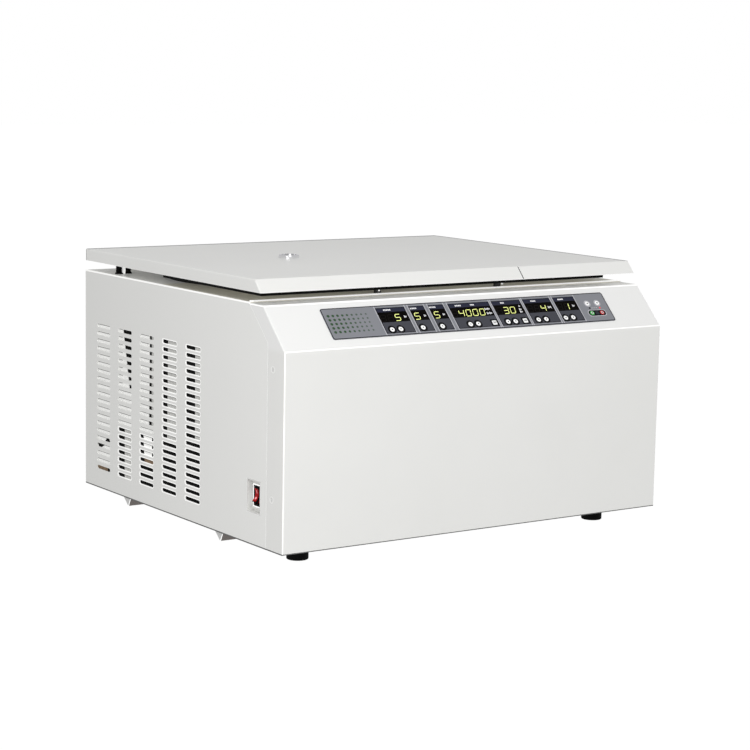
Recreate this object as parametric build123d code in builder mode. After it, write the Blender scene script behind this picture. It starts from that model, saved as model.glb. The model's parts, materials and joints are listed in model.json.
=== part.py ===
"""Refrigerated microplate centrifuge: a low sheet-metal cabinet with a flat lift-up lid.

Millimetres. X is the width, Y runs from front to rear and Z is up. The origin lies on the bench,
under the middle of the cabinet. The swing-out rotor turns about an upright axis left of the middle,
and the cooling unit fills the right-hand side.
"""
import os
from math import cos, hypot, radians, sin

from build123d import *

# ---------------------------------------------------------------- driving dimensions
# Cabinet
cabinet_w = 620
cabinet_d = 540
cabinet_h = 312  # underside to deck
foot_h = 23
front_h = 257  # upright part of the front
slope_run = 53  # depth of the sloped control face
top_strip = 34  # flat strip between the slope and the deck
wrap_d = 40  # how far the fascia wraps round each side
sheet = 1.5
deck_t = 1.2
bend_r = 2
seam_gap = 0.4
lap = 6  # overlap of one sheet under the next
flange_w = 14  # inward flanges of the side panels
rear_inset = 2
fit_gap = 0.3  # between pieces that only lie beside each other
run_gap = 0.05  # radial running clearance of pins and shafts

# Side vents
vent_l = 40
vent_w = 5.3
vent_columns = 5
vent_rows = 20
vent_pitch_y = 64
vent_pitch_z = 10.8
vent_rear_inset = 184  # from the rear edge to the middle of the vents
vent_mid_z = 156
rear_vent_columns = 3
rear_vent_rows = 12

# Base
pan_t = 2
pan_upstand = 20
rail_depth = 11
rail_rear_w = 16  # apex to the rear edge of each V rail
rail_front_w = 7.5
rail_rear_inset = 129.5
rail_front_inset = 155
rail_nose_w = 2
foot_r = 14.5
foot_inset = 62

# Lid
lid_gap = 13.5
lid_t = 16.5
lid_front_back = 5.5  # lid front edge behind the top of the slope
lid_bevel = 14.5
lid_seam_x = 111.5
lid_seam_w = 0.6
liner_t = 1.5

# Window
window_left = 15  # from the rotor axis
window_front = 28
window_r = 14.5
window_bore_r = 10.5
window_h = 4.4

# Hinges
hinge_inset_x = 100
hinge_inset_y = 8
hinge_w = 60
knuckle_r = 4.5
knuckle_gap = 0.4
pin_r = 2.5
leaf_t = 2
bracket_l = 24  # in front of the hinge pin
leaf_l = 22

# Rest posts under the lid
post_inset_x = 22.6
post_inset_y = 73
post_pitch = 14.2
rest_r = 3

# Lock
lock_x = 100
lock_back = 18  # behind the front edge of the deck
striker_w = 9
striker_t = 4
striker_l = 35  # below the deck
striker_window_w = 5
striker_window_h = 14
striker_bar = 3
striker_foot_w = 24
striker_foot_d = 16
hook_t = 3.6
hook_w = 9
hook_reach = 19
hook_nose = 4
hook_pivot_back = 15
hook_pivot_drop = 28
hook_bore_r = 3
hook_release = 15  # degrees
lock_cheek_t = 2
lock_cheek_gap = 11
lock_box_h = 36
lock_ear_w = 16
slot_side_gap = 2
slot_end_gap = 5

# Chamber
axis_inset = 213  # from the left side
foam_rear_gap = 12.9
bowl_r = 158
bowl_depth = 130
bowl_t = 1.5
bowl_flange_w = 10
bowl_flange_t = 1.2
bowl_bend_r = 12
gasket_lip = 2.95  # gasket beyond the flange of the bowl
gasket_w = 10
coil_tube_r = 5
coil_turns = 8
coil_pitch = 13
foam_t = 20
foam_floor = 18
spindle_hole_r = 20

# Rotor
shaft_r = 8
stud_top_r = 6
seat_rise = 41  # spindle seat above the bowl floor
seat_r = 16
seat_h = 16
hub_r = 18
hub_h = 38
pivot_radius = 68
pivot_above_seat = 23
pivot_pin_r = 4
pivot_grip = 4
rail_t = 10
rail_h = 24
rail_overhang = 12
beam_w = 22
nut_r = 13
nut_h = 16

# Buckets, sized for one 127.8 x 85.5 mm plate
plate_l = 127.8
plate_w = 85.5
plate_gap = 0.5
bucket_side_t = 2.5
bucket_end_t = 5
bucket_floor_t = 3
bucket_depth = 45
bucket_rim = 8  # rim above the pivot
bucket_end_gap = 1.2

# Drive motor
motor_r = 55
motor_head_gap = 7  # under the chamber insulation
motor_flange = 134
motor_flange_t = 6
motor_boss_r = 24
motor_boss_h = 18
mount_r = 12
mount_h = 24
mount_pitch = 104

# Cooling unit
compressor_inset_x = 105
compressor_inset_y = 138
compressor_r = 60
compressor_h = 150
compressor_dome = 25
compressor_base = 132
compressor_base_t = 3
compressor_mount_h = 6
compressor_mount_r = 9
compressor_mount_pitch = 108
condenser_gap = 16.5  # to the right side panel
condenser_t = 28
condenser_side = 134
condenser_z = 42
condenser_front = 132  # in front of the middle of the compressor
fin_pitch = 6
fin_gap = 3
fan_r = 58
fan_hub_r = 18
fan_w = 16
fan_blades = 7
fan_pitch = 35  # degrees
fan_chord = 24
fan_tip_gap = 2
fan_shaft_r = 3
shroud_t = 24
shroud_arm_w = 8
fan_motor_r = 16
fan_motor_l = 22
line_r = 4
capillary_r = 2
line_bend_r = 16
line_offset = 30  # lines beside the middle of the compressor
line_loop_h = 45
line_port = 40  # ports beside the middle of the condenser
capillary_clear = 75

# Electronics
board_t = 1.6
board_depth = 14  # board behind the sloped face
board_h = 42
board_margin = 4
post_r = 2.5
post_low = 6  # posts below the top edge of the overlay
display_sink = 0.3
tower_w = 6
tower_gap = 2
stem_hole_gap = 0.8
drive_w = 150
drive_d = 84
drive_h = 62
drive_inset_x = 105
drive_inset_y = 95

# Control panel, measured along X and up the slope
overlay_left = -231.5
overlay_right = 236
overlay_low = 14.5
overlay_high = 64
overlay_t = 1
overlay_r = 3
key_row = 24.2
key_r = 3.4
key_square = 7
key_rise = 0.6
key_lip = 0.8
key_gap = 0.15
key_travel = 0.5
stem_r = 1.75
stem_l = 8
window_low = 36.8
window_high = 51.7
display_spans = ((-146, -102.5), (-94, -71.5), (-63, -40), (-30.5, 35), (42, 87.5), (95, 139), (148, 182))
round_keys = {
    "accel_down_key": (-137, key_row),
    "accel_up_key": (-123.5, key_row),
    "brake_key": (-88, key_row),
    "program_key": (-56.8, key_row),
    "speed_down_key": (-10.9, key_row),
    "speed_up_key": (2, key_row),
    "time_down_key": (52, key_row),
    "time_up_key": (64.7, key_row),
    "temperature_down_key": (104, key_row),
    "temperature_up_key": (117.3, key_row),
    "rotor_down_key": (151.6, key_row),
    "rotor_up_key": (164.6, key_row),
    "lid_key": (201.2, 45.8),
    "pulse_key": (218.8, 45.8),
    "start_key": (201.2, 29.1),
    "stop_key": (218.8, 29.1),
}
square_keys = {"speed_mode_key": (29.2, key_row), "time_mode_key": (81.2, key_row)}

# Power switch and inlet
cup_back = 31  # behind the fascia seam
cup_z = 86.6
cup_w = 33.4
cup_h = 44
cup_wall = 1.5
cup_depth = 8
switch_w = 18
switch_h = 27
switch_rim = 2
switch_body_w = 13
switch_body_h = 24.4
switch_body_d = 18
rocker_w = 10
rocker_h = 19.2
rocker_ends = 7
rocker_middle = 5.6
rocker_pin_r = 1.5
rocker_tilt = 10  # degrees either side of level
inlet_x = -225
inlet_z = 85
inlet_flange_w = 50
inlet_flange_h = 28
inlet_body_w = 27
inlet_body_h = 20
inlet_body_d = 24
inlet_cavity_w = 24
inlet_cavity_h = 16
inlet_cavity_d = 17
inlet_pin_pitch = 7

# Screws
screw_r = 4
screw_h = 1.2
side_screw_inset = 12.5
side_screw_rows = (90, 256)
rear_screw_rows = (60, 180, 300)

# ---------------------------------------------------------------- places worked out from them
half_w = cabinet_w / 2
inner_w = half_w - sheet
front_y = -cabinet_d / 2
rear_y = cabinet_d / 2
base_z = foot_h
pan_z = base_z + sheet  # underside of the base pan
floor_z = pan_z + pan_t
deck_z = base_z + cabinet_h
skin_top_z = deck_z - deck_t
slope_z = base_z + front_h
slope_top_y = front_y + slope_run
seam_y = front_y + wrap_d
deck_front_y = slope_top_y + top_strip
knee_z = deck_z - (deck_front_y - seam_y)
rear_face_y = rear_y - rear_inset
vent_mid_y = rear_y - vent_rear_inset
rail_apexes = (rear_y - rail_rear_inset, front_y + rail_front_inset)
side_screws = [(seam_y - side_screw_inset, row) for row in side_screw_rows]
slope_plane = Plane((0, front_y, slope_z), x_dir=(1, 0, 0), z_dir=(0, slope_z - skin_top_z, slope_run))

lid_front_y = slope_top_y + lid_front_back
lid_z = deck_z + lid_gap
lid_top_z = lid_z + lid_t
lid_half_w = half_w
hinge_x = half_w - hinge_inset_x
hinge_y = rear_y - hinge_inset_y
hinge_z = deck_z + lid_gap / 2
bracket_front_y = hinge_y - bracket_l
leaf_front_y = hinge_y - leaf_l
rest_x = half_w - post_inset_x
rest_y = rear_y - post_inset_y
lock_y = deck_front_y + lock_back
liner_z = lid_z + liner_t

bowl_floor_z = deck_z - bowl_depth
foam_r = bowl_r + bowl_t + fit_gap + 2 * coil_tube_r + fit_gap + foam_t
coil_r = bowl_r + bowl_t + fit_gap + coil_tube_r
gasket_r = bowl_r + bowl_flange_w + run_gap + gasket_lip
axis_x = -half_w + axis_inset
axis_y = rear_face_y - foam_rear_gap - foam_r
window_x = axis_x - window_left
window_y = axis_y - window_front
foam_z = bowl_floor_z - bowl_t - foam_floor
motor_z = floor_z + mount_h
motor_top_z = foam_z - motor_head_gap - motor_boss_h
motor_h = motor_top_z - motor_z - motor_flange_t
seat_z = bowl_floor_z + seat_rise
rotor_z = seat_z + seat_h
pivot_z = rotor_z + pivot_above_seat
bucket_w = plate_w + 2 * plate_gap + 2 * bucket_side_t
bucket_l = plate_l + 2 * plate_gap + 2 * bucket_end_t
rail_y = bucket_l / 2 + bucket_end_gap

key_places = {**round_keys, **square_keys}
cup_x = -half_w
cup_y = seam_y + cup_back
cup_floor_x = -half_w + cup_depth
rocker_x = cup_floor_x + rocker_ends - 2  # rocker pivot, behind the cup floor
compressor_x = half_w - compressor_inset_x
compressor_y = rear_y - compressor_inset_y
condenser_x = inner_w - condenser_gap - condenser_t
condenser_y = compressor_y - condenser_front
drive_x = half_w - drive_inset_x
drive_y = front_y + drive_inset_y
condenser_mid_z = condenser_z + condenser_side / 2
fan_x = condenser_x - fit_gap - shroud_t
parts = {}


def keep(name, built):
    """Labels a finished piece and puts it on the list to be written."""
    built.part.label = name
    parts[name] = built.part


def around_axis(height):
    """A level plane at that height, centred on the rotor axis."""
    return Plane.XY.offset(height).move(Location((axis_x, axis_y, 0)))


# ---------------------------------------------------------------- cabinet skins
with BuildPart() as front_fascia:
    with BuildSketch(Plane.YZ.offset(-half_w)):
        with BuildLine():
            Polyline(
                (front_y, base_z), (front_y, slope_z), (slope_top_y, skin_top_z),
                (deck_front_y - deck_t, skin_top_z), (seam_y, knee_z), (seam_y, base_z), close=True,
            )
        make_face()
    extrude(amount=cabinet_w)
    side_rims = [
        edge for edge in front_fascia.faces().filter_by(Axis.X).edges()
        if edge.center().Z > base_z + 1 and (edge.center().Y < seam_y - 1 or edge.center().Z > skin_top_z - 1)
    ]
    cross_bends = [
        edge for edge in front_fascia.edges().filter_by(Axis.X)
        if edge.center().Y < seam_y - 1 or abs(edge.center().Y - slope_top_y) < 1
    ]
    fillet(side_rims + cross_bends, bend_r)
    with BuildSketch(Plane.YZ.offset(-inner_w)):
        with BuildLine():
            Polyline(
                (front_y, base_z), (front_y, slope_z), (slope_top_y, skin_top_z),
                (rear_y, skin_top_z), (rear_y, base_z), close=True,
            )
        make_face()
        offset(amount=-sheet, kind=Kind.INTERSECTION)
    extrude(amount=2 * inner_w, mode=Mode.SUBTRACT)
    with BuildSketch(Plane.XY.offset(skin_top_z - sheet)):
        with Locations((0, deck_front_y)):
            Rectangle(2 * inner_w, 2 * lap)
    extrude(amount=sheet)
    with BuildSketch(slope_plane):
        for left, right in display_spans:
            with Locations(((left + right) / 2, (window_low + window_high) / 2)):
                Rectangle(right - left, window_high - window_low)
        with Locations(*key_places.values()):
            Circle(stem_r + stem_hole_gap)
    extrude(amount=-2 * sheet, mode=Mode.SUBTRACT)
    with BuildSketch(Plane.YZ.offset(-half_w)):
        with Locations(*side_screws):
            Circle(screw_r + key_gap)
    extrude(amount=cabinet_w, mode=Mode.SUBTRACT)
keep("front_fascia", front_fascia)

with BuildPart() as side_blank:
    with BuildSketch(Plane.YZ.offset(-half_w)):
        with BuildLine():
            Polyline(
                (seam_y + seam_gap, base_z), (seam_y + seam_gap, knee_z), (deck_front_y + seam_gap, deck_z),
                (rear_y, deck_z), (rear_y, base_z), close=True,
            )
        make_face()
        with Locations((vent_mid_y, vent_mid_z)):
            with GridLocations(vent_pitch_y, vent_pitch_z, vent_columns, vent_rows):
                SlotOverall(vent_l, vent_w, mode=Mode.SUBTRACT)
    extrude(amount=sheet)
    with BuildSketch(Plane.YZ.offset(-inner_w)):
        with BuildLine():
            Polyline(
                (seam_y - 2 * lap - 8, base_z + lap), (seam_y - 2 * lap - 8, knee_z - 2 * lap),
                (deck_front_y - 2 * lap, skin_top_z - lap), (deck_front_y + 2 * lap, skin_top_z - lap),
                (seam_y + 2 * lap, knee_z - 2 * lap), (seam_y + 2 * lap, base_z + lap), close=True,
            )
        make_face()
    extrude(amount=sheet)
    top_flange_y = deck_front_y + lap + fit_gap
    with BuildSketch(Plane.XY.offset(skin_top_z - sheet)):
        with Locations((-inner_w + flange_w / 2, (top_flange_y + rear_face_y - sheet) / 2)):
            Rectangle(flange_w, rear_face_y - sheet - top_flange_y)
    extrude(amount=sheet)
    with BuildSketch(Plane.XY.offset(floor_z + fit_gap)):
        with Locations((-inner_w + flange_w / 2, rear_face_y - 1.5 * sheet)):
            Rectangle(flange_w, sheet)
    extrude(amount=skin_top_z - floor_z - fit_gap)

with BuildPart() as left_side_panel:
    add(side_blank.part)
    with BuildSketch(Plane.YZ.offset(-half_w)):
        with Locations((cup_y, cup_z)):
            Rectangle(cup_w + fit_gap, cup_h + fit_gap)
    extrude(amount=sheet, mode=Mode.SUBTRACT)
keep("left_side_panel", left_side_panel)

with BuildPart() as right_side_panel:
    mirror(side_blank.part, about=Plane.YZ)
keep("right_side_panel", right_side_panel)

with BuildPart() as rear_panel:
    with BuildSketch(Plane.XZ.offset(-rear_face_y)):
        with Locations((0, (floor_z + skin_top_z) / 2)):
            Rectangle(2 * (inner_w - fit_gap), skin_top_z - floor_z)
        with Locations((inlet_x, inlet_z)):
            Rectangle(inlet_body_w + fit_gap, inlet_body_h + fit_gap, mode=Mode.SUBTRACT)
        with Locations((compressor_x - line_offset, vent_mid_z)):
            with GridLocations(vent_pitch_y, vent_pitch_z, rear_vent_columns, rear_vent_rows):
                SlotOverall(vent_l, vent_w, mode=Mode.SUBTRACT)
    extrude(amount=sheet)
keep("rear_panel", rear_panel)

with BuildPart() as base_pan:
    pan_front_y = front_y + sheet + fit_gap
    with BuildSketch(Plane.XY.offset(pan_z)):
        with Locations((0, (pan_front_y + rear_face_y) / 2)):
            Rectangle(2 * inner_w, rear_face_y - pan_front_y)
    extrude(amount=pan_t)
    with BuildSketch(Plane.XY.offset(floor_z)):
        upstand_front_y = seam_y + 2 * lap + fit_gap
        upstand_rear_y = rear_face_y - 2 * sheet - fit_gap
        for side in (-1, 1):
            with Locations((side * (inner_w - pan_t / 2), (upstand_front_y + upstand_rear_y) / 2)):
                Rectangle(pan_t, upstand_rear_y - upstand_front_y)
    extrude(amount=pan_upstand)
    for apex in rail_apexes:
        with BuildSketch(Plane.YZ.offset(-inner_w)):
            with BuildLine():
                Polyline(
                    (apex - rail_front_w, pan_z), (apex - rail_nose_w / 2, base_z - rail_depth),
                    (apex + rail_nose_w / 2, base_z - rail_depth), (apex + rail_rear_w, pan_z), close=True,
                )
            make_face()
            offset(amount=-sheet, kind=Kind.INTERSECTION, mode=Mode.SUBTRACT)
        extrude(amount=2 * inner_w)
keep("base_pan", base_pan)

foot_x = half_w - foot_inset
foot_y = cabinet_d / 2 - foot_inset
foot_places = [(x * foot_x, y * foot_y) for x in (-1, 1) for y in (-1, 1)]
with BuildPart() as rubber_feet:
    with BuildSketch(Plane.XY):
        with Locations(*foot_places):
            Circle(foot_r)
    extrude(amount=pan_z)
    fillet(rubber_feet.edges().group_by(Axis.Z)[0], 1.5)
keep("rubber_feet", rubber_feet)

with BuildPart() as panel_screws:
    for plane, depth in ((Plane.YZ.offset(-half_w + 0.1), 1), (Plane.YZ.offset(half_w - 0.1), -1)):
        with BuildSketch(plane):
            with Locations(*side_screws):
                Circle(screw_r)
                Rectangle(screw_r, 1, mode=Mode.SUBTRACT)
        extrude(amount=depth * (sheet - 0.1))
    for side in (-1, 1):
        with BuildSketch(Plane.XZ.offset(-rear_face_y)):
            with Locations(*[(side * (inner_w - flange_w / 2), row) for row in rear_screw_rows]):
                Circle(screw_r)
                Rectangle(screw_r, 1, mode=Mode.SUBTRACT)
        extrude(amount=-screw_h)
keep("panel_screws", panel_screws)

with BuildPart() as deck_plate:
    with BuildSketch(Plane.XY.offset(skin_top_z)):
        with Locations((0, (deck_front_y + rear_face_y) / 2)):
            Rectangle(2 * (inner_w - seam_gap), rear_face_y - deck_front_y)
        with Locations((axis_x, axis_y)):
            Circle(bowl_r + bowl_t + fit_gap, mode=Mode.SUBTRACT)
        with Locations((-lock_x, lock_y), (lock_x, lock_y)):
            Rectangle(striker_w + 2 * slot_side_gap, striker_t + 2 * slot_end_gap, mode=Mode.SUBTRACT)
    extrude(amount=deck_t)
    with BuildSketch(Plane.XY.offset(deck_z)):
        with Locations((-rest_x, rest_y), (rest_x, rest_y)):
            with GridLocations(post_pitch, 1, 2, 1):
                Circle(rest_r)
    extrude(amount=lid_gap - fit_gap)
keep("deck_plate", deck_plate)

# ---------------------------------------------------------------- lid
with BuildPart() as lid_shell:
    with BuildSketch(Plane.YZ.offset(-lid_half_w)):
        with BuildLine():
            Polyline(
                (lid_front_y, lid_z), (lid_front_y + lid_bevel, lid_top_z), (rear_y, lid_top_z),
                (rear_y, lid_z), close=True,
            )
        make_face()
    extrude(amount=2 * lid_half_w)
    fillet(lid_shell.edges().filter_by(lambda edge: edge.center().Z > lid_z + 1), bend_r)
    with BuildSketch(Plane.YZ.offset(-lid_half_w + sheet)):
        with BuildLine():
            Polyline(
                (lid_front_y - lid_bevel, lid_z - lid_t), (lid_front_y + lid_bevel, lid_top_z),
                (rear_y, lid_top_z), (rear_y, lid_z - lid_t), close=True,
            )
        make_face()
        offset(amount=-sheet, kind=Kind.INTERSECTION)
    extrude(amount=2 * (lid_half_w - sheet), mode=Mode.SUBTRACT)
    with BuildSketch(Plane.XY.offset(lid_top_z)):
        with Locations((window_x, window_y)):
            Circle(window_bore_r + 1.5 + run_gap)
    extrude(amount=-2 * sheet, mode=Mode.SUBTRACT)
    with BuildSketch(Plane.XY.offset(lid_top_z + 1)):
        with Locations((lid_seam_x, lid_front_y)):
            Rectangle(lid_seam_w, 2 * lid_bevel)
    seam_cut = extrude(amount=-lid_t - 2, mode=Mode.PRIVATE)
    with BuildSketch(Plane.YZ.offset(-lid_half_w)):
        with BuildLine():
            Polyline(
                (lid_front_y + 0.5, lid_z - 1), (lid_front_y + lid_bevel + 0.5, lid_top_z - 0.1),
                (rear_y, lid_top_z - 0.1), (rear_y, lid_z - 1), close=True,
            )
        make_face()
    seam_floor = extrude(amount=2 * lid_half_w, mode=Mode.PRIVATE)
    add(seam_cut - seam_floor, mode=Mode.SUBTRACT)
keep("lid_shell", lid_shell)

with BuildPart() as lid_liner:
    liner_front_y = lid_front_y + 3 * sheet
    liner_rear_y = rear_y - sheet - fit_gap
    with BuildSketch(Plane.XY.offset(lid_z)):
        with Locations((0, (liner_front_y + liner_rear_y) / 2)):
            Rectangle(2 * (lid_half_w - sheet - fit_gap), liner_rear_y - liner_front_y)
    extrude(amount=liner_t)
    with BuildSketch(Plane.XY.offset(liner_z)):
        with Locations((0, (liner_front_y + lid_bevel + liner_rear_y) / 2)):
            Rectangle(2 * (lid_half_w - sheet - fit_gap), liner_rear_y - liner_front_y - lid_bevel)
            Rectangle(
                2 * (lid_half_w - 2 * sheet - fit_gap), liner_rear_y - liner_front_y - lid_bevel - 2 * sheet,
                mode=Mode.SUBTRACT,
            )
    extrude(amount=lid_t - liner_t - sheet)
    with BuildSketch(Plane.XY.offset(lid_z)):
        with Locations((window_x, window_y)):
            Circle(window_bore_r + 1.5 + run_gap)
    extrude(amount=liner_t, mode=Mode.SUBTRACT)
keep("lid_liner", lid_liner)

with BuildPart() as window_ring:
    with BuildSketch(Plane.XY.offset(lid_z)):
        with Locations((window_x, window_y)):
            Circle(window_bore_r + 1.5)
    extrude(amount=lid_t)
    with BuildSketch(Plane.XY.offset(lid_top_z)):
        with Locations((window_x, window_y)):
            Circle(window_r)
    extrude(amount=window_h)
    fillet(window_ring.edges().group_by(Axis.Z)[-1], 1.5)
    with BuildSketch(Plane.XY.offset(lid_z)):
        with Locations((window_x, window_y)):
            Circle(window_bore_r - 1)
    extrude(amount=lid_t + window_h, mode=Mode.SUBTRACT)
    with BuildSketch(Plane.XY.offset(lid_top_z)):
        with Locations((window_x, window_y)):
            Circle(window_bore_r)
    extrude(amount=window_h, mode=Mode.SUBTRACT)
keep("window_ring", window_ring)

with BuildPart() as window_glass:
    with BuildSketch(Plane.XY.offset(lid_top_z)):
        with Locations((window_x, window_y)):
            Circle(window_bore_r - run_gap)
    extrude(amount=window_h - 1)
keep("window_glass", window_glass)

with BuildPart() as chamber_gasket:
    with BuildSketch(around_axis(deck_z)):
        Circle(gasket_r)
        Circle(bowl_r + bowl_flange_w + run_gap, mode=Mode.SUBTRACT)
    extrude(amount=bowl_flange_t)
    with BuildSketch(around_axis(deck_z + bowl_flange_t)):
        Circle(gasket_r)
        Circle(gasket_r - gasket_w, mode=Mode.SUBTRACT)
    extrude(amount=lid_gap - bowl_flange_t - fit_gap)
    fillet(chamber_gasket.edges().group_by(Axis.Z)[-1], 1.5)
keep("chamber_gasket", chamber_gasket)

# ---------------------------------------------------------------- hinges
knuckle_l = (hinge_w - 4 * knuckle_gap) / 5


def knuckle_places(kinds):
    """Starts along X of the numbered knuckles of both hinges."""
    return [
        side * hinge_x - hinge_w / 2 + kind * (knuckle_l + knuckle_gap) for side in (-1, 1) for kind in kinds
    ]


with BuildPart() as deck_hinge_brackets:
    for side in (-1, 1):
        with BuildSketch(Plane.XY.offset(deck_z)):
            with Locations((side * hinge_x, (bracket_front_y + hinge_y + knuckle_r) / 2)):
                Rectangle(hinge_w, hinge_y + knuckle_r - bracket_front_y)
        extrude(amount=leaf_t)
    for start in knuckle_places((0, 2, 4)):
        with BuildSketch(Plane.YZ.offset(start)):
            with Locations((hinge_y, hinge_z)):
                Circle(knuckle_r)
            with Locations((hinge_y, (deck_z + hinge_z) / 2)):
                Rectangle(2 * knuckle_r, hinge_z - deck_z)
        extrude(amount=knuckle_l)
    with BuildSketch(Plane.YZ.offset(-half_w)):
        with Locations((hinge_y, hinge_z)):
            Circle(pin_r + run_gap)
    extrude(amount=cabinet_w, mode=Mode.SUBTRACT)
keep("deck_hinge_brackets", deck_hinge_brackets)

with BuildPart() as lid_hinge_leaves:
    for side in (-1, 1):
        with BuildSketch(Plane.XY.offset(lid_z)):
            with Locations((side * hinge_x, (leaf_front_y + hinge_y + knuckle_r) / 2)):
                Rectangle(hinge_w, hinge_y + knuckle_r - leaf_front_y)
        extrude(amount=-leaf_t)
    for start in knuckle_places((1, 3)):
        with BuildSketch(Plane.YZ.offset(start)):
            with Locations((hinge_y, hinge_z)):
                Circle(knuckle_r)
            with Locations((hinge_y, (lid_z + hinge_z) / 2)):
                Rectangle(2 * knuckle_r, lid_z - hinge_z)
        extrude(amount=knuckle_l)
    with BuildSketch(Plane.YZ.offset(-half_w)):
        with Locations((hinge_y, hinge_z)):
            Circle(pin_r + run_gap)
    extrude(amount=cabinet_w, mode=Mode.SUBTRACT)
keep("lid_hinge_leaves", lid_hinge_leaves)

with BuildPart() as hinge_pins:
    for side in (-1, 1):
        with BuildSketch(Plane.YZ.offset(side * hinge_x - hinge_w / 2)):
            with Locations((hinge_y, hinge_z)):
                Circle(pin_r)
        extrude(amount=hinge_w)
keep("hinge_pins", hinge_pins)

# ---------------------------------------------------------------- lock
hook_pivot_y = lock_y + hook_pivot_back
striker_end_z = deck_z - striker_l
hook_pivot_z = striker_end_z - hook_pivot_drop
striker_window_z = striker_end_z + striker_bar + striker_window_h / 2
hook_top = striker_window_z - hook_pivot_z + hook_nose / 2

with BuildPart() as lid_strikers:
    with BuildSketch(Plane.XY.offset(striker_end_z)):
        with Locations((-lock_x, lock_y), (lock_x, lock_y)):
            Rectangle(striker_w, striker_t)
    extrude(amount=lid_z - striker_end_z)
    with BuildSketch(Plane.XY.offset(lid_z)):
        with Locations((-lock_x, lock_y), (lock_x, lock_y)):
            Rectangle(striker_foot_w, striker_foot_d)
    extrude(amount=-leaf_t)
    with BuildSketch(Plane.XZ.offset(-lock_y - striker_t)):
        with Locations((-lock_x, striker_window_z), (lock_x, striker_window_z)):
            Rectangle(striker_window_w, striker_window_h)
    extrude(amount=2 * striker_t, mode=Mode.SUBTRACT)
keep("lid_strikers", lid_strikers)

hook_turn = (0, cos(radians(hook_release)), -sin(radians(hook_release)))
for name, lock_side in (("latch_hook_left", -1), ("latch_hook_right", 1)):
    hook_origin = (lock_side * lock_x - hook_t / 2, hook_pivot_y, hook_pivot_z)
    with BuildPart() as latch_hook:
        with BuildSketch(Plane(hook_origin, x_dir=hook_turn, z_dir=(1, 0, 0))):
            Circle(hook_w / 2 + 2)
            with Locations((0, hook_top / 2)):
                Rectangle(hook_w, hook_top)
            with Locations(((hook_w / 2 - hook_reach) / 2, hook_top - hook_nose / 2)):
                Rectangle(hook_reach + hook_w / 2, hook_nose)
            Circle(hook_bore_r + run_gap, mode=Mode.SUBTRACT)
        extrude(amount=hook_t)
    keep(name, latch_hook)

with BuildPart() as latch_housings:
    lock_box_z = hook_pivot_z - hook_w
    lock_d = 2 * hook_pivot_back
    for lock_side in (-1, 1):
        with BuildSketch(Plane.XY.offset(lock_box_z - lock_box_h)):
            with Locations((lock_side * lock_x, hook_pivot_y)):
                Rectangle(2 * (lock_cheek_gap + lock_cheek_t), lock_d)
        extrude(amount=lock_box_h)
        with BuildSketch(Plane.XY.offset(lock_box_z)):
            for cheek in (-1, 1):
                cheek_x = lock_side * lock_x + cheek * (lock_cheek_gap + lock_cheek_t / 2)
                with Locations((cheek_x, hook_pivot_y)):
                    Rectangle(lock_cheek_t, lock_d)
        extrude(amount=skin_top_z - lock_box_z)
        for cheek in (-1, 1):
            ear_x = lock_side * lock_x + cheek * (lock_cheek_gap + lock_ear_w / 2)
            with BuildSketch(Plane.XY.offset(skin_top_z - lock_cheek_t)):
                with Locations((ear_x, hook_pivot_y)):
                    Rectangle(lock_ear_w, lock_d)
            extrude(amount=lock_cheek_t)
        with BuildSketch(Plane.YZ.offset(lock_side * lock_x - lock_cheek_gap)):
            with Locations((hook_pivot_y, hook_pivot_z)):
                Circle(hook_bore_r)
        extrude(amount=2 * lock_cheek_gap)
keep("latch_housings", latch_housings)

# ---------------------------------------------------------------- chamber
with BuildPart() as chamber_bowl:
    with BuildSketch(around_axis(bowl_floor_z - bowl_t)):
        Circle(bowl_r + bowl_t)
    extrude(amount=bowl_depth + bowl_t + bowl_flange_t)
    with BuildSketch(around_axis(deck_z)):
        Circle(bowl_r + bowl_flange_w)
    extrude(amount=bowl_flange_t)
    fillet(chamber_bowl.edges().group_by(Axis.Z)[0], bowl_bend_r + bowl_t)
    with BuildSketch(around_axis(bowl_floor_z)):
        Circle(bowl_r)
    bowl_space = extrude(amount=bowl_depth + bowl_flange_t, mode=Mode.PRIVATE)
    add(bowl_space.fillet(bowl_bend_r, [bowl_space.edges().sort_by(Axis.Z)[0]]), mode=Mode.SUBTRACT)
    with BuildSketch(around_axis(bowl_floor_z - bowl_t)):
        Circle(spindle_hole_r)
    extrude(amount=bowl_t, mode=Mode.SUBTRACT)
keep("chamber_bowl", chamber_bowl)

line_z = skin_top_z - 4 * line_r
capillary_z = line_z - 3 * line_r
with BuildPart() as evaporator_coil:
    coil_z = bowl_floor_z + bowl_bend_r
    for turn in range(coil_turns):
        with Locations((axis_x, axis_y, coil_z + turn * coil_pitch)):
            Torus(coil_r, coil_tube_r)
    with BuildSketch(around_axis(coil_z)):
        with Locations((coil_r, 0)):
            Circle(coil_tube_r)
    extrude(amount=line_z + line_r - coil_z)
keep("evaporator_coil", evaporator_coil)

with BuildPart() as chamber_insulation:
    with BuildSketch(around_axis(foam_z)):
        Circle(foam_r)
    extrude(amount=skin_top_z - foam_z)
    with BuildSketch(around_axis(bowl_floor_z - bowl_t)):
        Circle(foam_r - foam_t)
    extrude(amount=skin_top_z - bowl_floor_z + bowl_t, mode=Mode.SUBTRACT)
    with BuildSketch(around_axis(foam_z)):
        Circle(spindle_hole_r + 4)
    extrude(amount=foam_floor, mode=Mode.SUBTRACT)
    notch_z = capillary_z - 2 * line_r
    with BuildSketch(around_axis(notch_z)):
        with Locations((foam_r - foam_t / 2, 0)):
            Rectangle(foam_t + 2, 4 * line_r)
    extrude(amount=skin_top_z - notch_z, mode=Mode.SUBTRACT)
keep("chamber_insulation", chamber_insulation)

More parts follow.
